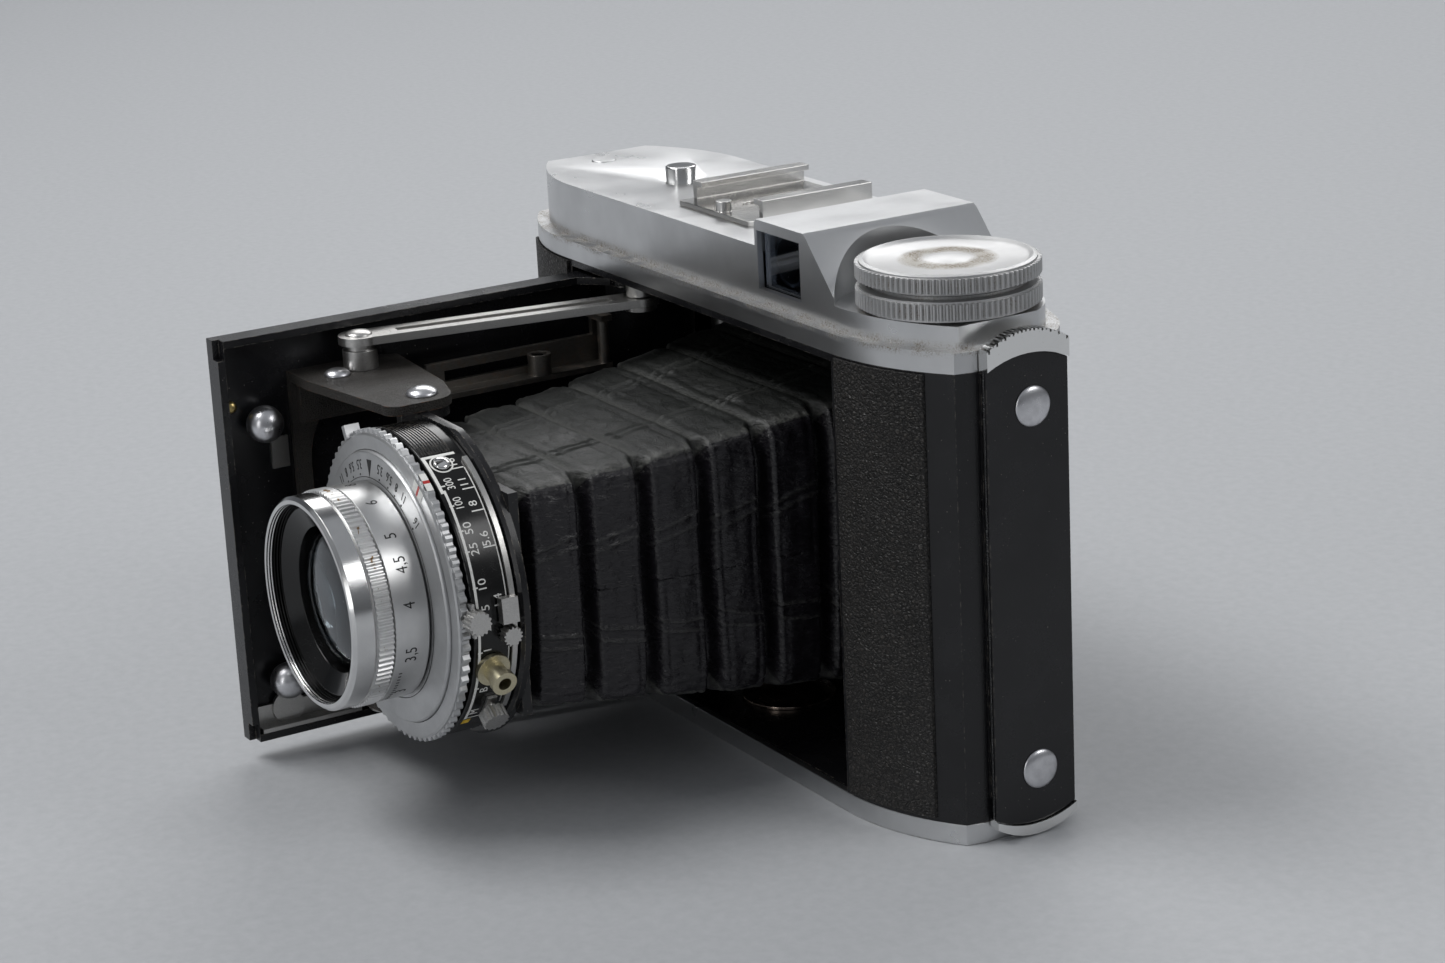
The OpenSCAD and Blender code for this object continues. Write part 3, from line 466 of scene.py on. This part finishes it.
LOOKS = {
    "black_enamel": enamel("black_enamel"),
    "satin_chrome": satin_chrome("satin_chrome"),
    "polished_chrome": polished_chrome("polished_chrome"),
    "plated_brass": polished_chrome("plated_brass", 0.16, (0.62, 0.5, 0.42)),
    "finder_glass": glass("finder_glass", (0.8, 0.85, 0.87), (0.85, 0.9, 1.0)),
    "lens_glass": glass("lens_glass", (0.8, 0.84, 0.82), (0.72, 0.78, 0.84)),
    "black_matt_metal": matt_metal("black_matt_metal"),
    "leather": pebble_leather("leather"),
    "bellows_leather": bellows_cloth("bellows_leather"),
    "plated_steel": brushed_steel("plated_steel"),
    "spool_metal": matt_metal("spool_metal", (0.02, 0.02, 0.02), 0.35),
    "tarnished_steel": brushed_steel("tarnished_steel", (0.25, 0.235, 0.215), (1, 0.2, 1), 0.36, 0.4),
    "crackle_paint": crackle_paint("crackle_paint"),
    "scale_enamel": enamel("scale_enamel", DEEP_BLACK, 0.13, 0.35, 0.3),
    "yellowed_plating": brushed_steel("yellowed_plating", (0.72, 0.66, 0.47), (1, 1, 1), 0.32, 0.15),
    "grey_anodised": grey_anodised("grey_anodised"),
    "blade_steel": brushed_steel("blade_steel", (0.13, 0.13, 0.14), (0.1, 1, 1), 0.3),
    "black_gloss_ring": enamel("black_gloss_ring", DEEP_BLACK, 0.08, 0.2, 0.0),
    "spring_brass": brushed_steel("spring_brass", (0.6, 0.47, 0.2), (1, 0.1, 1), 0.28, 0.1),
    "red_filter": enamel("red_filter", (0.2, 0.004, 0.004), 0.1, 0.3, 0.0),
}
OTHER_LOOKS = {
    "focus_ring": lens_chrome("lens_chrome"),
    "catch_stud_top": stud_metal("stud_metal"),
    "advance_knob": satin_chrome("knob_chrome", (0.56, 0.56, 0.56), 0.44, 1.3),
    "accessory_shoe": satin_chrome("shoe_chrome", (0.74, 0.73, 0.71), 0.2, 0.9, 1.5),
}
for node in ("catch_stud_bottom", "bracket_rivets", "latch_rivets"):
    OTHER_LOOKS[node] = OTHER_LOOKS["catch_stud_top"]
OTHER_LOOKS["reminder_dial"] = OTHER_LOOKS["advance_knob"]
WHITE = paint("white_paint", (0.82, 0.82, 0.79))
BLACK = paint("black_paint", (0.012, 0.012, 0.012))
RED = paint("red_paint", (0.45, 0.02, 0.015))
YELLOW = paint("yellow_paint", (0.75, 0.48, 0.03))


# ---------- carried-over CAD nodes ----------

USUAL_BEVEL = 0.1
BEVELS = {
    "top_cover": 1.1, "lens_bracket": 0.4, "latch_bar": 0.3, "release_button": 0.3, "bottom_cover": 0.25,
    "body_shell": 0.2, "strut_top": 0.2, "strut_bottom": 0.2, "back_cover": 0.2, "door_button": 0.2,
    "door_links": 0.2, "lens_door": 0.16, "latch_panel": 0.14, "accessory_shoe": 0.13, "sync_post": 0.12,
    "speed_ring": 0.08, "focus_ring": 0.07, "advance_knob": 0.07, "reminder_dial": 0.07,
}
FINE_BEVEL = 0.15
NO_BEVEL = {"bellows", "front_glass", "aperture_blades", "shutter_blades", "pressure_springs"}


def dress(node, look):
    """Gives a CAD node its material, smooth shading and softly broken edges."""
    piece = frame["nodes"][node]
    piece.data.materials.clear()
    piece.data.materials.append(look)
    bpy.context.view_layer.objects.active = piece
    bpy.ops.mesh.customdata_custom_splitnormals_clear()
    piece.data.shade_smooth()
    weld = piece.modifiers.new("weld", "WELD")
    weld.merge_threshold = 0.002 * MM
    if node in NO_BEVEL:
        return
    width = BEVELS.get(node, USUAL_BEVEL)
    flat = piece.modifiers.new("flat", "DECIMATE")
    flat.decimate_type = "DISSOLVE"
    flat.angle_limit = math.radians(0.4)
    bevel = piece.modifiers.new("bevel", "BEVEL")
    bevel.width = width * MM
    bevel.segments = 3 if width > FINE_BEVEL else 2
    bevel.limit_method = "ANGLE"
    bevel.angle_limit = math.radians(32)
    bevel.harden_normals = True


for part in frame["record"]["subparts"]:
    dress(part["node"], OTHER_LOOKS.get(part["node"], LOOKS[part["material_slot"]]))


# ---------- mesh helpers ----------

def mesh_piece(name, points, faces, material, body, smooth=True):
    """A new piece from points in millimetres, riding on a body."""
    mesh = bpy.data.meshes.new(name)
    mesh.from_pydata([Vector(p) * MM for p in points], [], faces)
    mesh.materials.append(material)
    mesh.validate()
    if smooth:
        mesh.shade_smooth()
    piece = bpy.data.objects.new(name, mesh)
    bpy.context.scene.collection.objects.link(piece)
    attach(piece, body)
    return piece


def on_lens(angle, r, ahead):
    """A point at an angle in degrees round the lens axis, a radius, and a distance ahead."""
    a = math.radians(angle)
    return Vector((r * math.cos(a), -ahead, LENS_Z + r * math.sin(a)))


def tube_faces(around, rows, start=0):
    """Quads between rows of points that each go once round."""
    faces = []
    for row in range(rows - 1):
        for k in range(around):
            near = start + row * around
            far = near + around
            turn = (k + 1) % around
            faces.append([near + k, near + turn, far + turn, far + k])
    return faces


class Plate:
    """Thin raised marks collected into one mesh."""

    def __init__(self):
        self.points = []
        self.faces = []

    def add(self, points, faces):
        start = len(self.points)
        self.points += points
        self.faces += [[start + i for i in face] for face in faces]

    def strip(self, place, u, v, rise, steps=1):
        """A flat bar over u and v of a surface place(u, v, height), closed all round."""
        points = []
        for i in range(steps + 1):
            at = u[0] + (u[1] - u[0]) * i / steps
            points += [place(at, v[0], 0), place(at, v[1], 0), place(at, v[1], rise), place(at, v[0], rise)]
        self.add(points, [[0, 3, 2, 1], [4 * steps + k for k in range(4)]] + tube_faces(4, steps + 1))

    def prism(self, outline, rise):
        """A low prism on a surface; outline(height) gives its points, going round anticlockwise."""
        points = outline(rise) + outline(0)
        count = len(points) // 2
        sides = [[k, count + k, count + (k + 1) % count, (k + 1) % count] for k in range(count)]
        self.add(points, [list(range(count)), list(range(2 * count - 1, count - 1, -1))] + sides)

    def figures(self, text, size, place, rise, squeeze=1.0):
        """Figures of a height, centred on place(0, 0, 0); u runs along them and v up."""
        curve = bpy.data.curves.new("figures", "FONT")
        curve.body = text
        curve.size = size * 1.4
        curve.align_x = "CENTER"
        curve.align_y = "CENTER"
        curve.extrude = rise / 2
        curve.resolution_u = 3
        carrier = bpy.data.objects.new("figures", curve)
        bpy.context.scene.collection.objects.link(carrier)
        graph = bpy.context.evaluated_depsgraph_get()
        mesh = bpy.data.meshes.new_from_object(carrier.evaluated_get(graph))
        self.add([place(v.co.x * squeeze, v.co.y, v.co.z) for v in mesh.vertices],
            [list(face.vertices) for face in mesh.polygons])
        bpy.data.objects.remove(carrier)
        bpy.data.curves.remove(curve)
        bpy.data.meshes.remove(mesh)

    def piece(self, name, material, body, slot):
        return mesh_piece(name, self.points, self.faces, material, body, smooth=False)


def round_side(angle, ahead, r):
    """A place on a cylinder round the lens axis: u runs up its near side and v forward."""
    return lambda u, v, w: on_lens(angle + math.degrees(u / r), r + w, ahead + v)


def cylinder(r):
    """A surface round the lens axis: u is an angle in degrees, v the distance ahead, w the height."""
    return lambda u, v, w: on_lens(u, r + w, v)


def disc(ahead):
    """A flat face across the lens axis: u is an angle in degrees, v a radius, w the height."""
    return lambda u, v, w: on_lens(u, v, ahead + w)


# ---------- scales on the shutter and lens ----------

PAINT_RISE = 0.03
SPEED_RING_R = 23.6
SPEED_RING_FACE = 68.02
# Each scale gives a figure's angle in degrees round the lens axis.
SPEEDS = {"300": 52.2, "100": 43.7, "50": 33.9, "25": 26.2, "10": 13.2, "5": 5.1, "2": -2.7, "1": -11.0}
APERTURES = {"16": 59.9, "11": 50.4, "8": 41.2, "5.6": 27.6, "4": 6.7}
DISTANCES = {"6": 69.5, "5": 45.6, "4,5": 29.5, "4": 8.3, "3,5": -19.5, "3": -50.0, "2": -95.0, "8": 95.0,
    "10": 122.0, "15": 148.0}
DEPTHS = {"3.5": 84.6, "5.6": 75.0, "8": 67.4, "11": 60.0, "16": 45.3}
DEPTH_INDEX = 96.0
# White lines on the shutter case: from and to angle, from and to distance ahead, steps.
FRAME_LINES = (
    ((49.4, 66.4), (65.1, 65.6), 12),
    ((48.6, 49.8), (64.75, 65.6), 2),
    ((-46.0, 49.4), (64.75, 65.15), 60),
    ((65.4, 66.7), (60.3, 65.6), 2),
    ((-38.0, 58.0), (60.15, 60.32), 60),
    ((-45.6, -45.1), (62.6, 65.1), 2),
)


def shutter_scales():
    """White speeds, apertures and frame lines painted on the side of the shutter case."""
    marks = Plate()
    r = CASE_R + 0.01
    around = cylinder(r)
    size = 1.3
    speed_row = 63.6
    speed_ticks = 64.7
    aperture_row = 61.5
    for text, angle in SPEEDS.items():
        squeeze = 0.8 if len(text) > 2 else 1.1
        marks.figures(text, size, round_side(angle, speed_row, r), PAINT_RISE, squeeze)
        marks.strip(round_side(angle - 0.6, speed_ticks, r), (-0.11, 0.11), (-0.25, 0.5), PAINT_RISE)
    marks.figures("B", size, round_side(-28.9, speed_row - 0.1, r), PAINT_RISE)
    marks.strip(round_side(-27.6, speed_ticks, r), (-0.11, 0.11), (-0.25, 0.5), PAINT_RISE)
    marks.figures("M", size, round_side(-41.5, speed_row + 0.3, r), PAINT_RISE)
    for text, angle in APERTURES.items():
        marks.figures(text, size, round_side(angle + 1.4, aperture_row, r), PAINT_RISE, 1.05)
        tick = round_side(angle - 1.6, aperture_row - 0.3, r)
        marks.strip(tick, (-0.1, 0.1), (-0.9, 1.0), PAINT_RISE)
    for angles, ahead, steps in FRAME_LINES:
        marks.strip(around, angles, ahead, PAINT_RISE, steps)
    marks.piece("shutter_scale", WHITE, "shutter", "scale_enamel")
    dot = Plate()
    dot.strip(around, (-50.0, -46.8), (63.9, 65.1), PAINT_RISE, 4)
    dot.piece("flash_mark", YELLOW, "shutter", "scale_enamel")


def ring_marks():
    """White segment with a red line on the speed ring, beside the running speeds."""
    white = Plate()
    red = Plate()
    on_face = (disc(SPEED_RING_FACE), (20.9, 22.8), 0.04)
    on_rim = (cylinder(SPEED_RING_R + 0.02), (66.52, 67.55), 0.06)
    for place, reach, rise in (on_face, on_rim):
        white.strip(place, (50.4, 53.6), reach, rise, 4)
        white.strip(place, (55.0, 58.2), reach, rise, 4)
        red.strip(place, (53.65, 54.95), reach, rise + 0.005, 2)
    white.piece("speed_index", WHITE, "speed_ring", "grey_anodised")
    red.piece("speed_index_line", RED, "speed_ring", "grey_anodised")


def depth_scale():
    """Black depth-of-field figures, dots and the index triangle on the fixed ring."""
    marks = Plate()
    outer_r = 20.3
    inner_r = 16.7
    outer_ahead = 68.62
    slope = 0.3 / (outer_r - inner_r)
    dot_r = 0.17
    dot_points = 10

    def face(angle, r):
        """The ring's sloping face: u runs round it and v towards the lens."""
        return lambda u, v, w: on_lens(angle + math.degrees(u / r), r - v,
            outer_ahead + (outer_r - r + v) * slope + w)

    def dot(place, height):
        turns = [2 * math.pi * k / dot_points for k in range(dot_points)]
        return [place(dot_r * math.cos(turn), dot_r * math.sin(turn), height) for turn in turns]

    for text, angle in DEPTHS.items():
        for side in (1, -1):
            at = DEPTH_INDEX + side * (angle - DEPTH_INDEX)
            marks.figures(text, 1.5, face(at, 18.6), PAINT_RISE, 0.75)
            marks.prism(partial(dot, face(at, 17.05)), PAINT_RISE)
    pointer = face(DEPTH_INDEX, 18.0)
    corners = ((-0.75, -1.3), (0.75, -1.3), (0, 1.2))
    marks.prism(lambda height: [pointer(u, v, height) for u, v in corners], PAINT_RISE)
    marks.strip(disc(68.95), (0, 360), (16.62, 16.72), 0.02, 96)
    marks.piece("depth_scale", BLACK, "shutter", "grey_anodised")


def distance_scale():
    """Black distance figures round the focusing barrel, and a row of ticks."""
    marks = Plate()
    for text, angle in DISTANCES.items():
        marks.figures(text, 1.85, round_side(angle, 72.1, BARREL_R), PAINT_RISE, 0.85)
    for step in range(12):
        tick = round_side(-60 + 2.6 * step, 73.2, BARREL_R)
        marks.strip(tick, (-0.08, 0.08), (0, 0.5), PAINT_RISE)
    marks.piece("distance_scale", BLACK, "focus_mount", "satin_chrome")


def shutter_ribs():
    """Fine ridges round the top of the shutter case."""
    ribs = Plate()
    count = 11
    spread = 4.7
    width = 0.22
    for k in range(count):
        at = 60.5 + spread * k / (count - 1)
        ribs.strip(cylinder(CASE_R - 0.02), (67.4, 118), (at, at + width), 0.14, 20)
    ribs.piece("shutter_ribs", LOOKS["scale_enamel"], "shutter", "scale_enamel")


def turned_head(name, at, normal, profile, material, body, slot, slit=None):
    """A small turned head on a surface, with a slot across it if slit gives its direction."""
    normal = normal.normalized()
    side = normal.orthogonal().normalized()
    up = normal.cross(side)
    sides = 28
    points = []
    for r, h in profile:
        for k in range(sides):
            a = 2 * math.pi * k / sides
            points.append(at + side * (r * math.cos(a)) + up * (r * math.sin(a)) + normal * h)
    rows = len(profile)
    faces = [list(range(sides))[::-1], [(rows - 1) * sides + k for k in range(sides)]]
    mesh_piece(name, points, faces + tube_faces(sides, rows), material, body)
    if slit:
        along = slit.normalized()
        across = normal.cross(along)
        reach = profile[1][0]
        floor = profile[-1][1] - 0.1
        groove = Plate()
        groove.strip(lambda u, v, w: at + along * u + across * v + normal * (floor + w),
            (-reach, reach), (-0.17, 0.17), 0.13)
        groove.piece(name + "_slot", BLACK, body, slot)


def small_fittings():
    """Screw on the shutter case, guard pin and tab inside the door."""
    screw_angle = 61.6
    screw_ahead = 63.2
    at = on_lens(screw_angle, CASE_R - 0.05, screw_ahead)
    outward = at - Vector((0, at.y, LENS_Z))
    dome = [(1.25, 0), (1.25, 0.3), (1.05, 0.5), (0.6, 0.62)]
    turned_head("case_screw", at, outward, dome, LOOKS["polished_chrome"], "shutter", "scale_enamel",
        Vector((0.2, -1, 0.1)))
    ring = Plate()
    centre = round_side(screw_angle, screw_ahead, CASE_R + 0.01)
    ring.strip(lambda u, v, w: centre(v * math.cos(u), v * math.sin(u), w),
        (0, 2 * math.pi), (1.5, 1.75), PAINT_RISE, 40)
    ring.piece("case_screw_ring", WHITE, "shutter", "scale_enamel")
    floor_x = limits("lens_door")[0].x + 1.0
    pin = [(0.9, 0), (0.9, 0.5), (0.65, 0.8), (0.25, 0.95)]
    turned_head("door_pin", Vector((floor_x, -76.2, 57.4)), Vector((1, 0, 0)), pin, LOOKS["spring_brass"],
        "lens_door", "plated_steel")
    tab = Plate()
    tab.strip(lambda u, v, w: Vector((floor_x + w, v, u)), (46.4, 51.4), (-70.2, -67.4), 0.45)
    tab.piece("door_tab", LOOKS["plated_steel"], "lens_door", "plated_steel")


shutter_ribs()
small_fittings()
shutter_scales()
ring_marks()
depth_scale()
distance_scale()


# ---------- bellows ----------

PLEATS = 7
BELLOWS_BACK = 12.0
BELLOWS_FRONT = -55.2
BACK_HALF_W, BACK_HALF_H = 27.2, 25.0
FRONT_HALF_W, FRONT_HALF_H = 19.9, 17.0
CORNER_POWER = 11
SIDE_GROOVE = 3.6
TOP_GROOVE = 0.55
FACE_SPAN = 22
CREASES = (-9.8, -7.6, 8.2, 10.2)
CLOTH_INSIDE = 0.86


def between(first, last, share):
    """The value a share of the way from first to last."""
    return first + (last - first) * share


def smooth(low, high, x):
    """0 below low, 1 above high, and a soft rise between them."""
    t = max(0.0, min(1.0, (x - low) / (high - low)))
    return t * t * (3 - 2 * t)


def hump(x, width):
    """1 at nought, falling away on both sides."""
    return math.exp(-(x / width) ** 2)


def slack(x, y, z, corner):
    """Broad dents in the cloth, and finer ripples towards the corners."""
    dents = noise.fractal(Vector((x * 0.17, y * 0.3, z * 0.12)) + SEED, 1.0, 2.1, 3)
    ripples = noise.fractal(Vector((x * 0.25, y * 0.4, z * 1.5)) + SEED, 1.0, 2.1, 3)
    return 0.25 * dents + 0.3 * ripples * corner


def creases(along_face, y, lean):
    """Strength of the sharp creases that run forward; lean skews them within each pleat."""
    strength = 0.0
    for level in CREASES:
        wobble = 0.7 * noise.noise(Vector((level, y * 0.11, 0)) + SEED)
        skew = lean if level > 0 else -0.4 * lean
        strength += hump(along_face - level - wobble + skew, 0.22)
    return strength


def bellows_point(angle, t):
    """Place, share of wear and painted crease highlight, and topness of the bellows at an angle and a share
    of the way forward.
    """
    y = between(BELLOWS_BACK, BELLOWS_FRONT, t)
    half_w = between(BACK_HALF_W, FRONT_HALF_W, t)
    half_h = between(BACK_HALF_H, FRONT_HALF_H, t)
    c = math.cos(angle)
    s = math.sin(angle)
    reach = (abs(c / half_w) ** CORNER_POWER + abs(s / half_h) ** CORNER_POWER) ** (-1 / CORNER_POWER)
    x = reach * c
    z = reach * s

    # Where the point is: on the top or bottom face or on a side, near a corner, and within its pleat.
    flat_face = abs(z) / half_h > abs(x) / half_w
    inward = half_w - abs(x) if flat_face else 0.0
    top = smooth(0.3, 4.2, inward)
    near_corner = smooth(0.55, 0.9, abs(z) / half_h) * (1 - top)
    drift = noise.noise(Vector((x * 0.04, y * 0.05, z * 0.04)) + SEED)
    phase = (t * PLEATS + 0.07 * drift) % 1.0
    gap = min(phase, 1 - phase)
    side_height = smooth(0.02, 0.17, gap)
    top_height = smooth(0.0, 0.1, gap)

    # How far it stands out from the plain taper.
    along_face = (x / half_w if flat_face else z / half_h) * FACE_SPAN
    crease = creases(along_face, y, 0.0 if flat_face else 2.4 * (phase - 0.5))
    border = hump(gap - 0.225, 0.02) + 0.6 * hump(gap - 0.27, 0.015)
    corner = hump(abs(x) - half_w, 2.2) * hump(abs(z) - half_h, 2.2)
    out = -SIDE_GROOVE * (1 - side_height) * (1 - top) - TOP_GROOVE * (1 - top_height) * top
    out += slack(x, y, z, near_corner) * (0.3 + 0.7 * side_height)
    out += (0.4 * crease - 0.2 * border + 0.55 * corner) * side_height
    k = 1 + out / reach
    sag = (0.9 if z > 0 else 0.3) * math.sin(math.pi * t)

    # How worn it is: along the edges between the faces, the pleats' tops and the creases; on the sides the
    # pale crease lines are also a painted highlight.
    edge = hump(inward - 1.3, 1.5) if flat_face else 0.7 * hump(abs(z) / half_h - 1, 0.05)
    top_line = 0.6 * hump(gap, 0.05) + 0.35 * min(1.0, crease)
    # Pale lines along the side creases: partly wear, partly painted highlight.
    side_crease_sheen = 0.6 * crease * side_height
    worn = min(1.0, edge + between(side_crease_sheen, top_line, top))
    return (x * k, y, LENS_Z + z * k - sag), worn, top


def bellows():
    """Box pleats tapering to the lens board, with notched corners, creases and slack."""
    around = 520
    along = PLEATS * 24
    points = []
    worn = []
    tops = []
    for j in range(along + 1):
        for i in range(around):
            place, wear_and_sheen, top = bellows_point(2 * math.pi * i / around, j / along)
            points.append(place)
            worn.append(wear_and_sheen)
            tops.append(top if place[2] > LENS_Z else 0.3 * top)
    faces = tube_faces(around, along + 1)
    count = len(points)
    last = along * around
    for start in (0, last):
        rim = points[start:start + around]
        points += [(CLOTH_INSIDE * x, y, between(LENS_Z, z, CLOTH_INSIDE)) for x, y, z in rim]
    worn += [0.0] * (2 * around)
    tops += [0.0] * (2 * around)
    for i in range(around):
        k = (i + 1) % around
        faces.append([count + i, count + k, k, i])
        faces.append([last + i, last + k, count + around + k, count + around + i])
        faces.append([count + around + i, count + around + k, count + k, count + i])
    slot = "bellows_leather"
    piece = mesh_piece("bellows_cloth", points, faces, LOOKS[slot], "camera_body")
    # The pale share holds wear and the painted highlight of the side creases.
    for name, values in (("wear_and_sheen", worn), ("top", tops)):
        piece.data.attributes.new(name, "FLOAT", "POINT").data.foreach_set("value", values)
    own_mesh(piece)
    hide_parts("bellows")


bellows()


# ---------- set, lights and camera ----------

def paper():
    """A pale sweep of paper that runs away from the camera and up, in metres."""
    s = Shader("floor_paper")
    grain = s.noise(2.0, 4, 0.6)
    s.set("Base Color", s.tones(grain, 0.3, 0.7, (0.44, 0.45, 0.465), (0.4, 0.41, 0.425)))
    s.set("Roughness", 0.62)
    s.bump((grain, 0.03))
    away = Vector((-0.866, 0.5, 0))
    across = Vector((0.5, 0.866, 0))
    half_width = 4
    bend = 0.6
    bend_start = 1.1
    profile = [(-3.0, 0.0), (bend_start, 0.0)]
    for k in range(1, 13):
        turn = k * math.pi / 24
        profile.append((bend_start + bend * math.sin(turn), bend - bend * math.cos(turn)))
    profile.append((bend_start + bend, 3.0))
    points = []
    for u, v in profile:
        for side in (-half_width, half_width):
            points.append(away * u + across * side + Vector((0, 0, v)))
    faces = [[2 * i, 2 * i + 1, 2 * i + 3, 2 * i + 2] for i in range(len(profile) - 1)]
    mesh = bpy.data.meshes.new("floor")
    mesh.from_pydata(points, [], faces)
    mesh.materials.append(s.material)
    mesh.shade_smooth()
    floor = bpy.data.objects.new("floor", mesh)
    bpy.context.scene.collection.objects.link(floor)


# Soft lamps: name, place and size in metres, power in watts.
LAMPS = (
    ("key", (-0.35, -0.55, 1.1), (0.8, 0.5), 9.5),
    ("rim", (-0.8, 0.75, 0.8), (1.2, 0.5), 6.5),
    ("side", (1.0, 0.75, 0.95), (0.6, 0.6), 4.5),
    ("front", (0.5, -1.2, 0.35), (0.25, 0.9), 1.6),
)


def lamps():
    """Four soft lamps, all turned to the camera's middle."""
    target = Vector((0, -0.02, 0.04))
    for name, place, size, power in LAMPS:
        lamp = bpy.data.lights.new(name, "AREA")
        lamp.shape = "RECTANGLE"
        lamp.size, lamp.size_y = size
        lamp.energy = power
        holder = bpy.data.objects.new(name, lamp)
        holder.location = place
        holder.rotation_euler = (target - holder.location).to_track_quat("-Z", "Y").to_euler()
        bpy.context.scene.collection.objects.link(holder)


def room():
    """A pale room, dark low down and light above."""
    world = bpy.data.worlds.new("room")
    world.use_nodes = True
    tree = world.node_tree
    up = tree.nodes.new("ShaderNodeSeparateXYZ")
    tree.links.new(tree.nodes.new("ShaderNodeTexCoord").outputs["Generated"], up.inputs[0])
    rise = tree.nodes.new("ShaderNodeMapRange")
    tree.links.new(up.outputs["Z"], rise.inputs[0])
    low, high = -0.1, 0.9
    dark, light = 0.08, 0.42
    for socket, number in zip(list(rise.inputs)[1:5], (low, high, dark, light)):
        socket.default_value = number
    background = tree.nodes["Background"]
    background.inputs["Color"].default_value = (0.76, 0.79, 0.84, 1)
    tree.links.new(rise.outputs[0], background.inputs["Strength"])
    bpy.context.scene.world = world


def camera():
    """The viewpoint: near end and front, a little above."""
    azimuth, elevation, roll = (math.radians(v) for v in (60.0, 17.08, -2.87))
    place = Vector((423.6, -254.9, 191.2)) * MM
    back = Vector((math.sin(azimuth) * math.cos(elevation), -math.cos(azimuth) * math.cos(elevation),
        math.sin(elevation)))
    level = Vector((math.cos(azimuth), math.sin(azimuth), 0))
    right = level * math.cos(roll) + back.cross(level) * math.sin(roll)
    up = back.cross(right)
    data = bpy.data.cameras.new("camera")
    data.lens = 81.9
    data.clip_start = 0.01
    holder = bpy.data.objects.new("camera", data)
    turn = Matrix((right, up, back)).transposed().to_4x4()
    holder.matrix_world = Matrix.Translation(place) @ turn
    bpy.context.scene.collection.objects.link(holder)
    bpy.context.scene.camera = holder


paper()
lamps()
room()
camera()
bpy.context.scene.view_settings.view_transform = "Standard"
